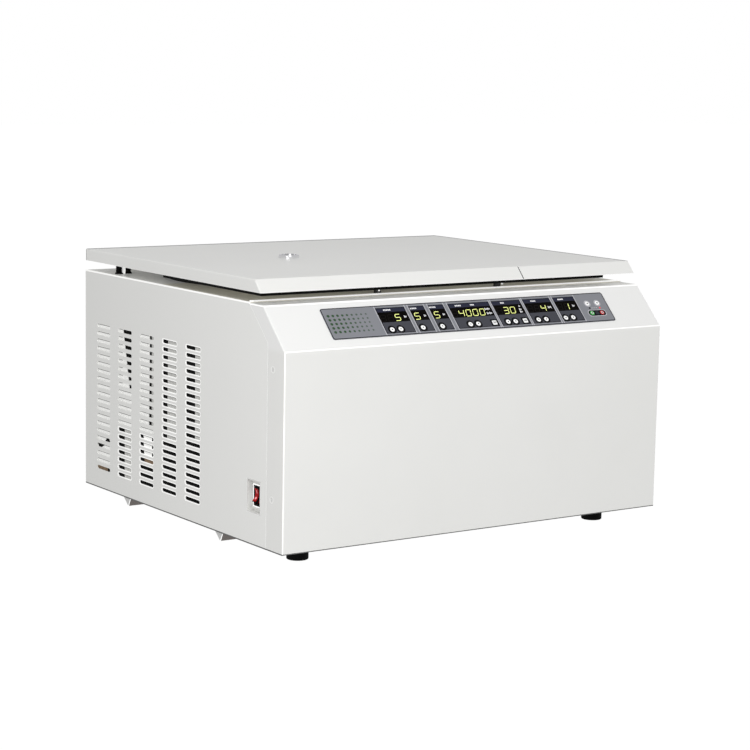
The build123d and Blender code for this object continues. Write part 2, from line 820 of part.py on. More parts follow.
# ---------------------------------------------------------------- drive and rotor
with BuildPart() as drive_motor:
    with BuildSketch(around_axis(motor_z)):
        RectangleRounded(motor_flange, motor_flange, mount_r)
    extrude(amount=motor_flange_t)
    with BuildSketch(around_axis(motor_z + motor_flange_t)):
        Circle(motor_r)
    extrude(amount=motor_h)
    with BuildSketch(around_axis(motor_top_z)):
        Circle(motor_boss_r)
    extrude(amount=motor_boss_h)
    with BuildSketch(around_axis(motor_z + motor_flange_t)):
        Circle(shaft_r + run_gap)
    extrude(amount=motor_h + motor_boss_h, mode=Mode.SUBTRACT)
keep("drive_motor", drive_motor)

compressor_z = floor_z + compressor_mount_h
with BuildPart() as vibration_mounts:
    with BuildSketch(around_axis(floor_z)):
        with GridLocations(mount_pitch, mount_pitch, 2, 2):
            Circle(mount_r)
    extrude(amount=mount_h)
    with BuildSketch(Plane.XY.offset(floor_z)):
        with Locations((compressor_x, compressor_y)):
            with GridLocations(compressor_mount_pitch, compressor_mount_pitch, 2, 2):
                Circle(compressor_mount_r)
    extrude(amount=compressor_mount_h)
keep("vibration_mounts", vibration_mounts)

shaft_end_z = motor_z + motor_flange_t + fit_gap
with BuildPart() as rotor_spindle:
    with BuildSketch(around_axis(shaft_end_z)):
        Circle(shaft_r)
    extrude(amount=rotor_z - shaft_end_z)
    with BuildSketch(around_axis(seat_z)):
        Circle(seat_r)
    extrude(amount=seat_h)
    round_edges = rotor_spindle.edges().filter_by(GeomType.CIRCLE)
    seat_rims = round_edges.filter_by(lambda edge: edge.radius > shaft_r)
    chamfer(seat_rims.group_by(Axis.Z)[0], seat_r - shaft_r - 2)
    with BuildSketch(around_axis(rotor_z)):
        Circle(stud_top_r)
    extrude(amount=hub_h + nut_h - 3)
keep("rotor_spindle", rotor_spindle)

with BuildPart() as rotor_yoke:
    with BuildSketch(around_axis(rotor_z)):
        Circle(hub_r)
    extrude(amount=hub_h)
    with BuildSketch(around_axis(pivot_z - rail_h / 2)):
        Rectangle(beam_w, 2 * (rail_y + rail_t))
        for side in (-1, 1):
            with Locations((0, side * (rail_y + rail_t / 2))):
                RectangleRounded(2 * (pivot_radius + rail_overhang), rail_t, 3)
    extrude(amount=rail_h)
    for side in (-1, 1):
        pin_plane = Plane((axis_x, axis_y + side * (rail_y - bucket_end_gap - pivot_grip), pivot_z),
                          x_dir=(1, 0, 0), z_dir=(0, side, 0))
        with BuildSketch(pin_plane):
            with Locations((-pivot_radius, 0), (pivot_radius, 0)):
                Circle(pivot_pin_r)
        extrude(amount=bucket_end_gap + pivot_grip + rail_t / 2)
    with BuildSketch(around_axis(rotor_z)):
        Circle(stud_top_r)
    extrude(amount=hub_h, mode=Mode.SUBTRACT)
keep("rotor_yoke", rotor_yoke)

with BuildPart() as rotor_nut:
    with BuildSketch(around_axis(rotor_z + hub_h)):
        RegularPolygon(nut_r, 12)
    extrude(amount=nut_h)
    fillet(rotor_nut.edges().group_by(Axis.Z)[-1], 2)
    with BuildSketch(around_axis(rotor_z + hub_h)):
        Circle(stud_top_r)
    extrude(amount=nut_h - 3, mode=Mode.SUBTRACT)
keep("rotor_nut", rotor_nut)

for name, bucket_side in (("bucket_left", -1), ("bucket_right", 1)):
    bucket_x = axis_x + bucket_side * pivot_radius
    bucket_z = pivot_z + bucket_rim - bucket_depth - bucket_floor_t
    with BuildPart() as bucket:
        with BuildSketch(Plane.XY.offset(bucket_z)):
            with Locations((bucket_x, axis_y)):
                RectangleRounded(bucket_w, bucket_l, 4)
        extrude(amount=bucket_depth + bucket_floor_t)
        with BuildSketch(Plane.XY.offset(bucket_z + bucket_floor_t)):
            with Locations((bucket_x, axis_y)):
                RectangleRounded(bucket_w - 2 * bucket_side_t, bucket_l - 2 * bucket_end_t, 1)
        extrude(amount=bucket_depth, mode=Mode.SUBTRACT)
        with BuildSketch(Plane.XZ.offset(-axis_y - bucket_l / 2)):
            with Locations((bucket_x, pivot_z)):
                Circle(pivot_pin_r + run_gap)
        extrude(amount=bucket_l, mode=Mode.SUBTRACT)
    keep(name, bucket)

# ---------------------------------------------------------------- cooling unit
compressor_top_z = compressor_z + compressor_base_t + compressor_h
with BuildPart() as compressor:
    with BuildSketch(Plane.XY.offset(compressor_z)):
        with Locations((compressor_x, compressor_y)):
            RectangleRounded(compressor_base, compressor_base, 12)
    extrude(amount=compressor_base_t)
    with BuildSketch(Plane.XY.offset(compressor_z + compressor_base_t)):
        with Locations((compressor_x, compressor_y)):
            Circle(compressor_r)
    extrude(amount=compressor_h)
    fillet(compressor.edges().group_by(Axis.Z)[-1], compressor_dome)
keep("compressor", compressor)

with BuildPart() as condenser:
    with BuildSketch(Plane.YZ.offset(condenser_x)):
        with Locations((condenser_y, condenser_mid_z)):
            Rectangle(condenser_side, condenser_side)
    extrude(amount=condenser_t)
    with BuildSketch(Plane.YZ.offset(condenser_x + condenser_t)):
        with Locations((condenser_y, condenser_mid_z)):
            with GridLocations(fin_pitch, 1, int(condenser_side / fin_pitch) - 1, 1):
                Rectangle(fin_gap, condenser_side - 4 * fin_gap)
    extrude(amount=-condenser_t / 2, mode=Mode.SUBTRACT)
    with BuildSketch(Plane.XY.offset(floor_z)):
        for side in (-1, 1):
            with Locations((condenser_x + condenser_t / 2, condenser_y + side * (condenser_side / 2 - 8))):
                Rectangle(condenser_t, 12)
    extrude(amount=condenser_z - floor_z)
keep("condenser", condenser)

fan_plane = Plane((fan_x, condenser_y, condenser_mid_z), x_dir=(0, 1, 0), z_dir=(1, 0, 0))
with BuildPart() as fan_shroud:
    with BuildSketch(fan_plane):
        RectangleRounded(condenser_side, condenser_side, 6)
        Circle(fan_r + fan_tip_gap, mode=Mode.SUBTRACT)
    extrude(amount=shroud_t)
    with BuildSketch(fan_plane):
        with PolarLocations(0, 4):
            with Locations((fan_r / 2 + 2, 0)):
                Rectangle(fan_r + 4, shroud_arm_w)
        Circle(fan_motor_r)
    extrude(amount=2)
    with BuildSketch(fan_plane):
        Circle(fan_motor_r)
    extrude(amount=-fan_motor_l)
    with BuildSketch(fan_plane.offset(-fan_motor_l / 2)):
        Circle(fan_shaft_r + run_gap)
    extrude(amount=fan_motor_l, mode=Mode.SUBTRACT)
keep("fan_shroud", fan_shroud)

with BuildPart() as condenser_fan:
    fan_back = 4
    with BuildSketch(fan_plane.offset(fan_back)):
        Circle(fan_hub_r)
    extrude(amount=fan_w)
    blade_root = fan_hub_r - 2
    for blade in range(fan_blades):
        turn = radians(360 / fan_blades * blade)
        out = Vector(0, cos(turn), sin(turn))
        along = Vector(0, -sin(turn), cos(turn))
        chord = Vector(1, 0, 0) * sin(radians(fan_pitch)) + along * cos(radians(fan_pitch))
        hub_middle = Vector(fan_x + fan_back + fan_w / 2, condenser_y, condenser_mid_z)
        blade_plane = Plane(hub_middle + out * blade_root, x_dir=chord, z_dir=out)
        with BuildSketch(blade_plane):
            RectangleRounded(fan_chord, 2, 0.9)
        extrude(amount=fan_r - blade_root)
    with BuildSketch(fan_plane.offset(fan_back - fan_motor_l / 2)):
        Circle(fan_shaft_r)
    extrude(amount=fan_motor_l / 2)
keep("condenser_fan", condenser_fan)

condenser_top_z = condenser_z + condenser_side
condenser_mid_x = condenser_x + condenser_t / 2
line_start_x = axis_x + coil_r + coil_tube_r
suction_x = compressor_x - line_offset
discharge_x = compressor_x + line_offset - line_r
loop_z = compressor_top_z + line_loop_h
tubes = (
    (line_r, (
        (line_start_x, axis_y, line_z), (suction_x, axis_y, line_z),
        (suction_x, compressor_y, line_z), (suction_x, compressor_y, compressor_top_z),
    )),
    (line_r, (
        (discharge_x, compressor_y, compressor_top_z), (discharge_x, compressor_y, loop_z),
        (condenser_mid_x, compressor_y, loop_z), (condenser_mid_x, condenser_y + line_port, loop_z),
        (condenser_mid_x, condenser_y + line_port, condenser_top_z),
    )),
    (capillary_r, (
        (condenser_mid_x, condenser_y - line_port, condenser_top_z),
        (condenser_mid_x, condenser_y - line_port, capillary_z),
        (compressor_x - capillary_clear, condenser_y - line_port, capillary_z),
        (compressor_x - capillary_clear, axis_y, capillary_z),
        (line_start_x, axis_y, capillary_z),
    )),
)
with BuildPart() as refrigerant_lines:
    for tube_r, route in tubes:
        with BuildLine():
            path = FilletPolyline(*route, radius=line_bend_r)
        with BuildSketch(path ^ 0):
            Circle(tube_r)
        sweep(path=path)
keep("refrigerant_lines", refrigerant_lines)

# ---------------------------------------------------------------- electronics
board_plane = slope_plane.offset(-board_depth)
gap_middles = [(span[1] + after[0]) / 2 for span, after in zip(display_spans, display_spans[1:])]
first_post = overlay_left + 3 * board_margin
last_post = display_spans[-1][1] + 2 * board_margin
post_places = [first_post, gap_middles[1], gap_middles[4], last_post]
with BuildPart() as control_board:
    with BuildSketch(board_plane):
        with Locations(((overlay_left + overlay_right) / 2, (overlay_low + overlay_high) / 2)):
            Rectangle(overlay_right - overlay_left - 2 * board_margin, board_h)
    extrude(amount=board_t)
    with BuildSketch(board_plane.offset(board_t)):
        for left, right in display_spans:
            with Locations(((left + right) / 2, (window_low + window_high) / 2)):
                Rectangle(right - left - 2 * fit_gap, window_high - window_low - 2 * fit_gap)
    extrude(amount=board_depth - board_t + overlay_t - display_sink)
    tower_h = board_depth - board_t - sheet - tower_gap
    with BuildSketch(board_plane.offset(board_t)):
        with Locations(*key_places.values()):
            Rectangle(tower_w, tower_w)
            Circle(stem_r + run_gap, mode=Mode.SUBTRACT)
    extrude(amount=tower_h)
    with BuildSketch(board_plane.offset(board_t)):
        with Locations(*[(x, overlay_high - post_low) for x in post_places]):
            Circle(post_r)
    extrude(amount=board_depth - board_t - sheet)
keep("control_board", control_board)

with BuildPart() as drive_unit:
    with BuildSketch(Plane.XY.offset(floor_z)):
        with Locations((drive_x, drive_y)):
            RectangleRounded(drive_w, drive_d, 3)
    extrude(amount=drive_h)
    with BuildSketch(Plane.XY.offset(floor_z + drive_h)):
        with Locations((drive_x, drive_y)):
            with GridLocations(10, 1, 13, 1):
                Rectangle(5, drive_d)
    extrude(amount=-drive_h / 3, mode=Mode.SUBTRACT)
keep("drive_unit", drive_unit)

with BuildPart() as keypad_overlay:
    with BuildSketch(slope_plane):
        with Locations(((overlay_left + overlay_right) / 2, (overlay_low + overlay_high) / 2)):
            RectangleRounded(overlay_right - overlay_left, overlay_high - overlay_low, overlay_r)
        for left, right in display_spans:
            with Locations(((left + right) / 2, (window_low + window_high) / 2)):
                Rectangle(right - left, window_high - window_low, mode=Mode.SUBTRACT)
        with Locations(*round_keys.values()):
            Circle(key_r + key_gap, mode=Mode.SUBTRACT)
        with Locations(*square_keys.values()):
            RectangleRounded(key_square + 2 * key_gap, key_square + 2 * key_gap, 1, mode=Mode.SUBTRACT)
    extrude(amount=overlay_t)
keep("keypad_overlay", keypad_overlay)

for name, place in key_places.items():
    with BuildPart() as key:
        with BuildSketch(slope_plane.offset(key_lip)):
            with Locations(place):
                if name in round_keys:
                    Circle(key_r)
                else:
                    RectangleRounded(key_square, key_square, 1)
        extrude(amount=overlay_t + key_rise - key_lip)
        fillet(key.faces().sort_by(Axis((0, 0, 0), slope_plane.z_dir))[-1].edges(), 0.3)
        with BuildSketch(slope_plane.offset(key_lip)):
            with Locations(place):
                Circle(stem_r)
        extrude(amount=-stem_l - key_lip)
    keep(name, key)

# ---------------------------------------------------------------- power switch and inlet
with BuildPart() as switch_cup:
    with BuildSketch(Plane.YZ.offset(cup_x)):
        with Locations((cup_y, cup_z)):
            RectangleRounded(cup_w, cup_h, 2)
    extrude(amount=cup_depth + cup_wall)
    with BuildSketch(Plane.YZ.offset(-inner_w)):
        with Locations((cup_y, cup_z)):
            Rectangle(cup_w + 4, cup_h + 4)
    extrude(amount=cup_wall)
    with BuildSketch(Plane.YZ.offset(cup_x)):
        with Locations((cup_y, cup_z)):
            RectangleRounded(cup_w - 2 * cup_wall, cup_h - 2 * cup_wall, 1.5)
    extrude(amount=cup_depth, mode=Mode.SUBTRACT)
    with BuildSketch(Plane.YZ.offset(cup_floor_x)):
        with Locations((cup_y, cup_z)):
            Rectangle(switch_body_w + fit_gap, switch_body_h + fit_gap)
    extrude(amount=cup_wall, mode=Mode.SUBTRACT)
keep("switch_cup", switch_cup)

with BuildPart() as power_switch_body:
    with BuildSketch(Plane.YZ.offset(cup_floor_x)):
        with Locations((cup_y, cup_z)):
            RectangleRounded(switch_w, switch_h, 1)
    extrude(amount=-switch_rim)
    with BuildSketch(Plane.YZ.offset(cup_floor_x)):
        with Locations((cup_y, cup_z)):
            Rectangle(switch_body_w, switch_body_h)
    extrude(amount=switch_body_d)
    with BuildSketch(Plane.YZ.offset(cup_floor_x - switch_rim)):
        with Locations((cup_y, cup_z)):
            Rectangle(rocker_w + 2 * fit_gap, rocker_h + 3)
    extrude(amount=switch_body_d, mode=Mode.SUBTRACT)
    with BuildSketch(Plane.XZ.offset(-cup_y - switch_body_w / 2)):
        with Locations((rocker_x, cup_z)):
            Circle(rocker_pin_r)
    extrude(amount=switch_body_w)
keep("power_switch_body", power_switch_body)

rocker_turn = (cos(radians(rocker_tilt)), 0, -sin(radians(rocker_tilt)))
with BuildPart() as power_rocker:
    with BuildSketch(Plane((rocker_x, cup_y - rocker_w / 2, cup_z), x_dir=rocker_turn, z_dir=(0, -1, 0))):
        with BuildLine():
            Polyline(
                (4, -3), (-rocker_ends + 2, -rocker_h / 2), (-rocker_ends, -rocker_h / 2),
                (-rocker_middle, 0), (-rocker_ends, rocker_h / 2), (-rocker_ends + 2, rocker_h / 2),
                (4, 3), close=True,
            )
        make_face()
        Circle(rocker_pin_r + run_gap, mode=Mode.SUBTRACT)
    extrude(amount=-rocker_w)
keep("power_rocker", power_rocker)

with BuildPart() as power_inlet:
    with BuildSketch(Plane.XZ.offset(-rear_face_y)):
        with Locations((inlet_x, inlet_z)):
            RectangleRounded(inlet_flange_w, inlet_flange_h, 5)
    extrude(amount=-rear_inset)
    with BuildSketch(Plane.XZ.offset(-rear_face_y)):
        with Locations((inlet_x, inlet_z)):
            Rectangle(inlet_body_w, inlet_body_h)
    extrude(amount=inlet_body_d)
    with BuildSketch(Plane.XZ.offset(-rear_y)):
        with Locations((inlet_x, inlet_z)):
            RectangleRounded(inlet_cavity_w, inlet_cavity_h, 2)
    extrude(amount=inlet_cavity_d, mode=Mode.SUBTRACT)
    with BuildSketch(Plane.XZ.offset(-rear_y + inlet_cavity_d)):
        with Locations((inlet_x, inlet_z + 3), (inlet_x - inlet_pin_pitch, inlet_z - 1),
                       (inlet_x + inlet_pin_pitch, inlet_z - 1)):
            Rectangle(2, 4)
    extrude(amount=-inlet_cavity_d + 2)
keep("power_inlet", power_inlet)

# ---------------------------------------------------------------- files
os.makedirs("parts", exist_ok=True)
for name, part in parts.items():
    export_step(part, f"parts/{name}.step")
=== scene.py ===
"""Looks of a refrigerated microplate centrifuge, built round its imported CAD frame.

Metres. X is the width, Y runs from front to rear and Z is up, with the origin on the bench under the
middle of the cabinet. The CAD pieces keep their shapes and get their finishes here. What is printed or
lit on the control panel is added as thin raised pieces, placed along X and up the slope of the panel.
"""
import json
from math import cos, pi, radians, sin

import bpy
from mathutils import Matrix, Vector


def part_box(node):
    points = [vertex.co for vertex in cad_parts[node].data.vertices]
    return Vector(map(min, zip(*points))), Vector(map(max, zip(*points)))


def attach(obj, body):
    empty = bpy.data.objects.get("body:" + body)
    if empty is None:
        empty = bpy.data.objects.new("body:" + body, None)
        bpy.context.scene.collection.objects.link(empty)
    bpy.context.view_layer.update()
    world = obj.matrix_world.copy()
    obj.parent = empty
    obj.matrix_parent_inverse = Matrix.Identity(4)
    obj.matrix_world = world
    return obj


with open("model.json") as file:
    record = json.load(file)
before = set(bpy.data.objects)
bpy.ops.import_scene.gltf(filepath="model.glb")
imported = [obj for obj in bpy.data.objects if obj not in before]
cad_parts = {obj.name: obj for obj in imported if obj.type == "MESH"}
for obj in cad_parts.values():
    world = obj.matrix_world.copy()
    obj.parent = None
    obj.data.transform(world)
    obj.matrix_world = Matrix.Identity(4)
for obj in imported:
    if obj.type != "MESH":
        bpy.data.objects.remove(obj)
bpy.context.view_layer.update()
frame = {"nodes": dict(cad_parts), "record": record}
nodes = frame["nodes"]
mm = 0.001

# ---- camera
CAMERA_PLACE = Vector((-1.7130, -2.4975, 0.6425))
CAMERA_LENS = 103.03
CAMERA_SENSOR = 36
CAMERA_YAW = 0.6046
CAMERA_PITCH = -0.1463
CAMERA_ROLL = 0.0187


def add_camera():
    """A camera that looks along the yaw and pitch, with a slight roll."""
    forward = Vector((
        sin(CAMERA_YAW) * cos(CAMERA_PITCH), cos(CAMERA_YAW) * cos(CAMERA_PITCH), sin(CAMERA_PITCH),
    ))
    level_right = Vector((cos(CAMERA_YAW), -sin(CAMERA_YAW), 0))
    level_up = level_right.cross(forward)
    right = cos(CAMERA_ROLL) * level_right + sin(CAMERA_ROLL) * level_up
    up = cos(CAMERA_ROLL) * level_up - sin(CAMERA_ROLL) * level_right
    camera = bpy.data.objects.new("camera", bpy.data.cameras.new("camera"))
    camera.data.lens = CAMERA_LENS
    camera.data.sensor_width = CAMERA_SENSOR
    camera.data.clip_start = 0.01
    turn = Matrix((right, up, -forward)).transposed().to_4x4()
    camera.matrix_world = Matrix.Translation(CAMERA_PLACE) @ turn
    bpy.context.scene.collection.objects.link(camera)
    bpy.context.scene.camera = camera


# ---- shader tools
WHITE = (1, 1, 1)
BLACK = (0, 0, 0)


def grey(level):
    """A neutral colour."""
    return level, level, level


def new_material(name):
    """A fresh material, its node tree and its main shader."""
    material = bpy.data.materials.new(name)
    material.use_nodes = True
    tree = material.node_tree
    return material, tree, tree.nodes["Principled BSDF"]


def taken_up(material, socket):
    """A material's node tree, its main shader, and the output that feeds a socket of that shader."""
    shader = material.node_tree.nodes["Principled BSDF"]
    return material.node_tree, shader, shader.inputs[socket].links[0].from_socket


def feed(node, inputs):
    """Sets each input of a node to a value, or links another node's output to it."""
    for name, value in inputs.items():
        socket = node.inputs[name]
        if isinstance(value, bpy.types.NodeSocket):
            node.id_data.links.new(value, socket)
        elif socket.type == "RGBA":
            socket.default_value = (*value, 1)
        else:
            socket.default_value = value


def add_node(tree, kind, inputs, operation=None):
    """A shader node with its inputs, and with its operation if it is a maths node."""
    node = tree.nodes.new("ShaderNode" + kind)
    if operation:
        node.operation = operation
    feed(node, inputs)
    return node


def times(first, second):
    """The product of two values."""
    return add_node(first.id_data, "Math", {0: first, 1: second}, "MULTIPLY").outputs["Value"]


# ---- studio
WORLD_LEVEL = 0.632
WORLD_ZENITH = 0.56
KEY_WATTS = 39
CORNER_WATTS = 3.9
FLOOR_SIZE = 30


def add_softbox(name, place, target, width, height, watts):
    """A large rectangular area light at a place, facing a target."""
    light = bpy.data.lights.new(name, "AREA")
    light.shape = "RECTANGLE"
    light.size = width
    light.size_y = height
    light.energy = watts
    lamp = bpy.data.objects.new(name, light)
    lamp.location = place
    lamp.rotation_euler = (Vector(target) - Vector(place)).to_track_quat("-Z", "Y").to_euler()
    lamp.visible_camera = False
    bpy.context.scene.collection.objects.link(lamp)


def add_world():
    """A world that looks white, and lights the object less from straight above than from the sides."""
    world = bpy.data.worlds.new("studio")
    world.use_nodes = True
    tree = world.node_tree
    direction = add_node(tree, "TexCoord", {}).outputs["Generated"]
    height = add_node(tree, "SeparateXYZ", {"Vector": direction}).outputs["Z"]
    level = add_node(tree, "MapRange", {"Value": height, "To Min": WORLD_LEVEL, "To Max": WORLD_ZENITH})
    seen = add_node(tree, "LightPath", {}).outputs["Is Camera Ray"]
    strength = add_node(tree, "Mix", {"Factor": seen, "A": level.outputs["Result"], "B": 1})
    feed(tree.nodes["Background"], {"Strength": strength.outputs["Result"], "Color": WHITE})
    bpy.context.scene.world = world
    bpy.context.scene.view_settings.view_transform = "Standard"


def add_floor():
    """A white glowing floor that takes no shadow and sends no light up."""
    corner = FLOOR_SIZE / 2
    floor_mesh = bpy.data.meshes.new("floor")
    floor_mesh.from_pydata(
        [(x, y, 0) for x, y in bar(-corner, corner, -corner, corner)], [], [(0, 1, 2, 3)],
    )
    floor = bpy.data.objects.new("floor", floor_mesh)
    floor.visible_diffuse = False
    floor.visible_glossy = False
    floor.visible_shadow = False
    bpy.context.scene.collection.objects.link(floor)
    material, _, shader = new_material("floor")
    feed(shader, {
        "Base Color": grey(0.02), "Roughness": 0.9, "Specular IOR Level": 0,
        "Emission Color": WHITE, "Emission Strength": 1,
    })
    floor_mesh.materials.append(material)


def add_studio():
    """A white room with two soft lights, as in a product photograph."""
    add_world()
    add_floor()
    add_softbox("key_light", (-0.9, -2.4, 2.2), (0, -0.1, 0.25), 1.6, 1.0, KEY_WATTS)
    add_softbox("corner_light", (-1.3, -1.0, 0.45), (-0.25, -0.2, 0.2), 0.7, 0.8, CORNER_WATTS)


# ---- surfaces
PAINT_ROUGH = 0.36
PAINT_GRAIN = 0.0011
PAINT_DEPTH = 0.000016
# Painted highlights: sheet edges and bands are painted paler and glow faintly, and so do the lips of the
# vent slots
PAINTED_EDGE_HIGHLIGHT = (0.98, 0.98, 0.97)
EDGE_GLINT = grey(0.12)
BAND_GLINT = (0.34, 0.34, 0.33)
LIP_GLINT = grey(0.34)
LIP_W = 1.3 * mm
LIP_ZONES = (((-0.074, 0.054), (0.048, 0.264)), ((0.054, 0.182), (0.048, 0.124)))  # along Y and up
SOFT = 0.3 * mm  # width over which a painted band or lip ends


def object_place(tree, stretch=(1, 1, 1)):
    """The place on the object in metres, with each axis stretched."""
    source = add_node(tree, "TexCoord", {}).outputs["Object"]
    return add_node(tree, "Mapping", {"Vector": source, "Scale": stretch}).outputs["Vector"]


def turned_place(tree, centre):
    """The place as radius and height round an upright axis, for turned metal."""
    source = add_node(tree, "TexCoord", {}).outputs["Object"]
    moved = add_node(tree, "VectorMath", {0: source, 1: centre}, "SUBTRACT").outputs["Vector"]
    parts = add_node(tree, "SeparateXYZ", {"Vector": moved}).outputs
    flat = add_node(tree, "CombineXYZ", {"X": parts["X"], "Y": parts["Y"]}).outputs["Vector"]
    reach = add_node(tree, "VectorMath", {0: flat}, "LENGTH").outputs["Value"]
    return add_node(tree, "CombineXYZ", {"X": reach, "Y": parts["Z"]}).outputs["Vector"]


def noise(tree, place, grain, detail=2):
    """Smooth noise whose features are about one grain across."""
    texture = add_node(tree, "TexNoise", {"Vector": place, "Scale": 1 / grain, "Detail": detail})
    return texture.outputs["Fac"]


def spread(value, low, high, from_low=0.3, from_high=0.7):
    """The value mapped from its middle range to low and high."""
    ends = {"From Min": from_low, "From Max": from_high, "To Min": low, "To Max": high}
    return add_node(value.id_data, "MapRange", {"Value": value, **ends}).outputs["Result"]


def blend_colours(factor, first, second):
    """A colour between two, each either a colour or another node's output."""
    node = factor.id_data.nodes.new("ShaderNodeMix")
    node.data_type = "RGBA"
    feed(node, {"Factor": factor, 6: first, 7: second})
    return node.outputs[2]


def relief(shader, height, depth):
    """Bumps of that depth in metres on the shader's normal."""
    bump = add_node(shader.id_data, "Bump", {"Strength": 1, "Distance": depth, "Height": height})
    feed(shader, {"Normal": bump.outputs["Normal"]})


def coated(name, light, dark, roughness, grain, depth, patch=0.12, others=None):
    """A coated, moulded or cast surface: patches of two close colours over a fine grain.

    Others are further sockets of the shader with their values.
    """
    material, tree, shader = new_material(name)
    place = object_place(tree)
    patches = noise(tree, place, patch, 4)
    feed(shader, {
        "Base Color": blend_colours(spread(patches, 0, 1), dark, light),
        "Roughness": spread(patches, roughness * 0.92, roughness * 1.08),
        **(others or {}),
    })
    relief(shader, noise(tree, place, grain, 3), depth)
    return material


def edge_share(tree, radius):
    """1 along the edges of the object and 0 on its flat faces."""
    rounded_off = add_node(tree, "Bevel", {"Radius": radius})
    rounded_off.samples = 6
    flat = add_node(tree, "NewGeometry", {})
    normals = {0: rounded_off.outputs["Normal"], 1: flat.outputs["Normal"]}
    dot = add_node(tree, "VectorMath", normals, "DOT_PRODUCT")
    return spread(dot.outputs["Value"], 0, 1, from_low=0.995, from_high=0.93)


def place_share(tree, axis, start, end):
    """0 to 1 as the place on the object goes from start to end along an axis, in metres."""
    parts = add_node(tree, "SeparateXYZ", {"Vector": object_place(tree)})
    return spread(parts.outputs[axis], 0, 1, from_low=start, from_high=end)


def band_share(tree, axis, start, end):
    """1 between two places along an axis and 0 beyond them, with soft edges."""
    rise = place_share(tree, axis, start - SOFT, start)
    return times(rise, place_share(tree, axis, end + SOFT, end))


def sheet_paint(name, light, dark, zones=(), edge=PAINTED_EDGE_HIGHLIGHT, edge_r=1.0 * mm, glint=EDGE_GLINT, highlight_bands=()):
    """Powder-coated sheet with a painted highlight on its edges and along the highlight bands: a paler
    colour and a faint glow.

    Each zone is (axis, start, end, colour), and each highlight band (axis, start, end). Zones of painted
    shade put out the glow.
    """
    coat = {"Coat Weight": 0.15, "Coat Roughness": 0.22}
    material = coated(name, light, dark, PAINT_ROUGH, PAINT_GRAIN, PAINT_DEPTH, others=coat)
    tree, shader, colour = taken_up(material, "Base Color")
    # painted highlight: a faint glow on the edges and bands
    painted_highlight_glow = BLACK
    if edge:
        share = edge_share(tree, edge_r)
        colour = blend_colours(share, colour, edge)
        painted_highlight_glow = blend_colours(share, painted_highlight_glow, glint)
    for axis, start, end in highlight_bands:
        painted_highlight_glow = blend_colours(band_share(tree, axis, start, end), painted_highlight_glow, BAND_GLINT)
    for axis, start, end, zone_colour in zones:
        share = place_share(tree, axis, start, end)
        colour = blend_colours(share, colour, zone_colour)
        # a zone of painted shade puts out the painted highlight under it
        if zone_colour in (FOOT_PAINTED_SHADE, END_PAINTED_SHADE) and edge:
            painted_highlight_glow = blend_colours(share, painted_highlight_glow, BLACK)
    feed(shader, {"Base Color": colour})
    if edge or highlight_bands:
        feed(shader, {"Emission Color": painted_highlight_glow, "Emission Strength": 1})
    return material


def drawn_metal(name, light, dark, roughness, stretch=None):
    """Metal with fine lines, along an axis where stretch is small, or else round the rotor's axis."""
    material, tree, shader = new_material(name)
    place = object_place(tree, stretch) if stretch else turned_place(tree, ROTOR_AXIS)
    lines = noise(tree, place, 0.0006, 4)
    cloud = noise(tree, object_place(tree), 0.05, 3)
    feed(shader, {
        "Base Color": blend_colours(spread(lines, 0, 1), dark, light),
        "Roughness": spread(cloud, roughness * 0.8, roughness * 1.2),
        "Metallic": 1,
    })
    relief(shader, lines, 0.00002)
    return material


def printed(name, colour, roughness=0.45, glow=0):
    """Printed or lit film with a faint mottle. A glow makes it shine in its own colour."""
    material, tree, shader = new_material(name)
    mottle = noise(tree, object_place(tree), 0.0012)
    shade = tuple(0.88 * part for part in colour)
    feed(shader, {
        "Base Color": blend_colours(spread(mottle, 0, 1), shade, colour),
        "Roughness": roughness, "Specular IOR Level": 0.06,
    })
    relief(shader, mottle, 0.000008)
    if glow:
        feed(shader, {"Emission Color": colour, "Emission Strength": glow})
    return material


# ---- finishes of the CAD pieces
ROTOR_AXIS = sum(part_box("rotor_nut"), Vector()) / 2
ROTOR_AXIS.z = 0
SIDE_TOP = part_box("left_side_panel")[1].z
SKIRT, SLOPE_TOP = (corner.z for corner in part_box("front_fascia"))
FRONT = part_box("front_fascia")[0].y
DECK_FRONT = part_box("deck_plate")[0].y
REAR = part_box("rear_panel")[1].y
LID_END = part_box("lid_shell")[1].y

PAINT = (0.820, 0.820, 0.800)
PAINT_SHADE = (0.800, 0.800, 0.780)
# the slope of the fascia is painted lighter, as painted light
SLOPE_PAINTED_LIGHT = (0.842, 0.842, 0.832)
FOOT_PAINTED_SHADE = grey(0.09)  # lowest millimetre of the skirt, darkened as a painted shade line
# the V rails below the skirt are painted dark brown as painted shade
RAIL_PAINTED_SHADE = (0.17, 0.145, 0.135)
# Deck: the olive tint in front is painted shade and reflection under the lid, and both parts glow faintly
# as painted light, more at the rear
DECK_FRONT_PAINTED_SHADE = (0.76, 0.74, 0.66)
DECK_FRONT_PAINTED_SHADE_DARK = (0.72, 0.70, 0.62)
DECK_PAINTED_GLOW = (0.068, 0.066, 0.058)
REAR_DECK = 0.050  # where the grey part of the deck begins
REAR_DECK_PAINT = (0.74, 0.74, 0.73)
REAR_DECK_PAINTED_GLOW = grey(0.08)
LINER_PAINT = (0.80, 0.79, 0.74)
LINER_SHADE = (0.785, 0.775, 0.722)
# the side panels are painted lighter at the front and darker towards the rear, as painted light and shade
SIDE_PAINTED_LIGHT = (0.850, 0.850, 0.830)
SIDE_PAINTED_LIGHT_DARK = (0.835, 0.835, 0.815)
SIDE_REAR_PAINTED_SHADE = (0.785, 0.785, 0.765)
END_PAINTED_SHADE = grey(0.26)
# the skirt zone darkens the lowest millimetre as painted shade
SKIRT_SHADE_ZONE = ("Z", SKIRT + 1.9 * mm, SKIRT + 1.5 * mm, FOOT_PAINTED_SHADE)


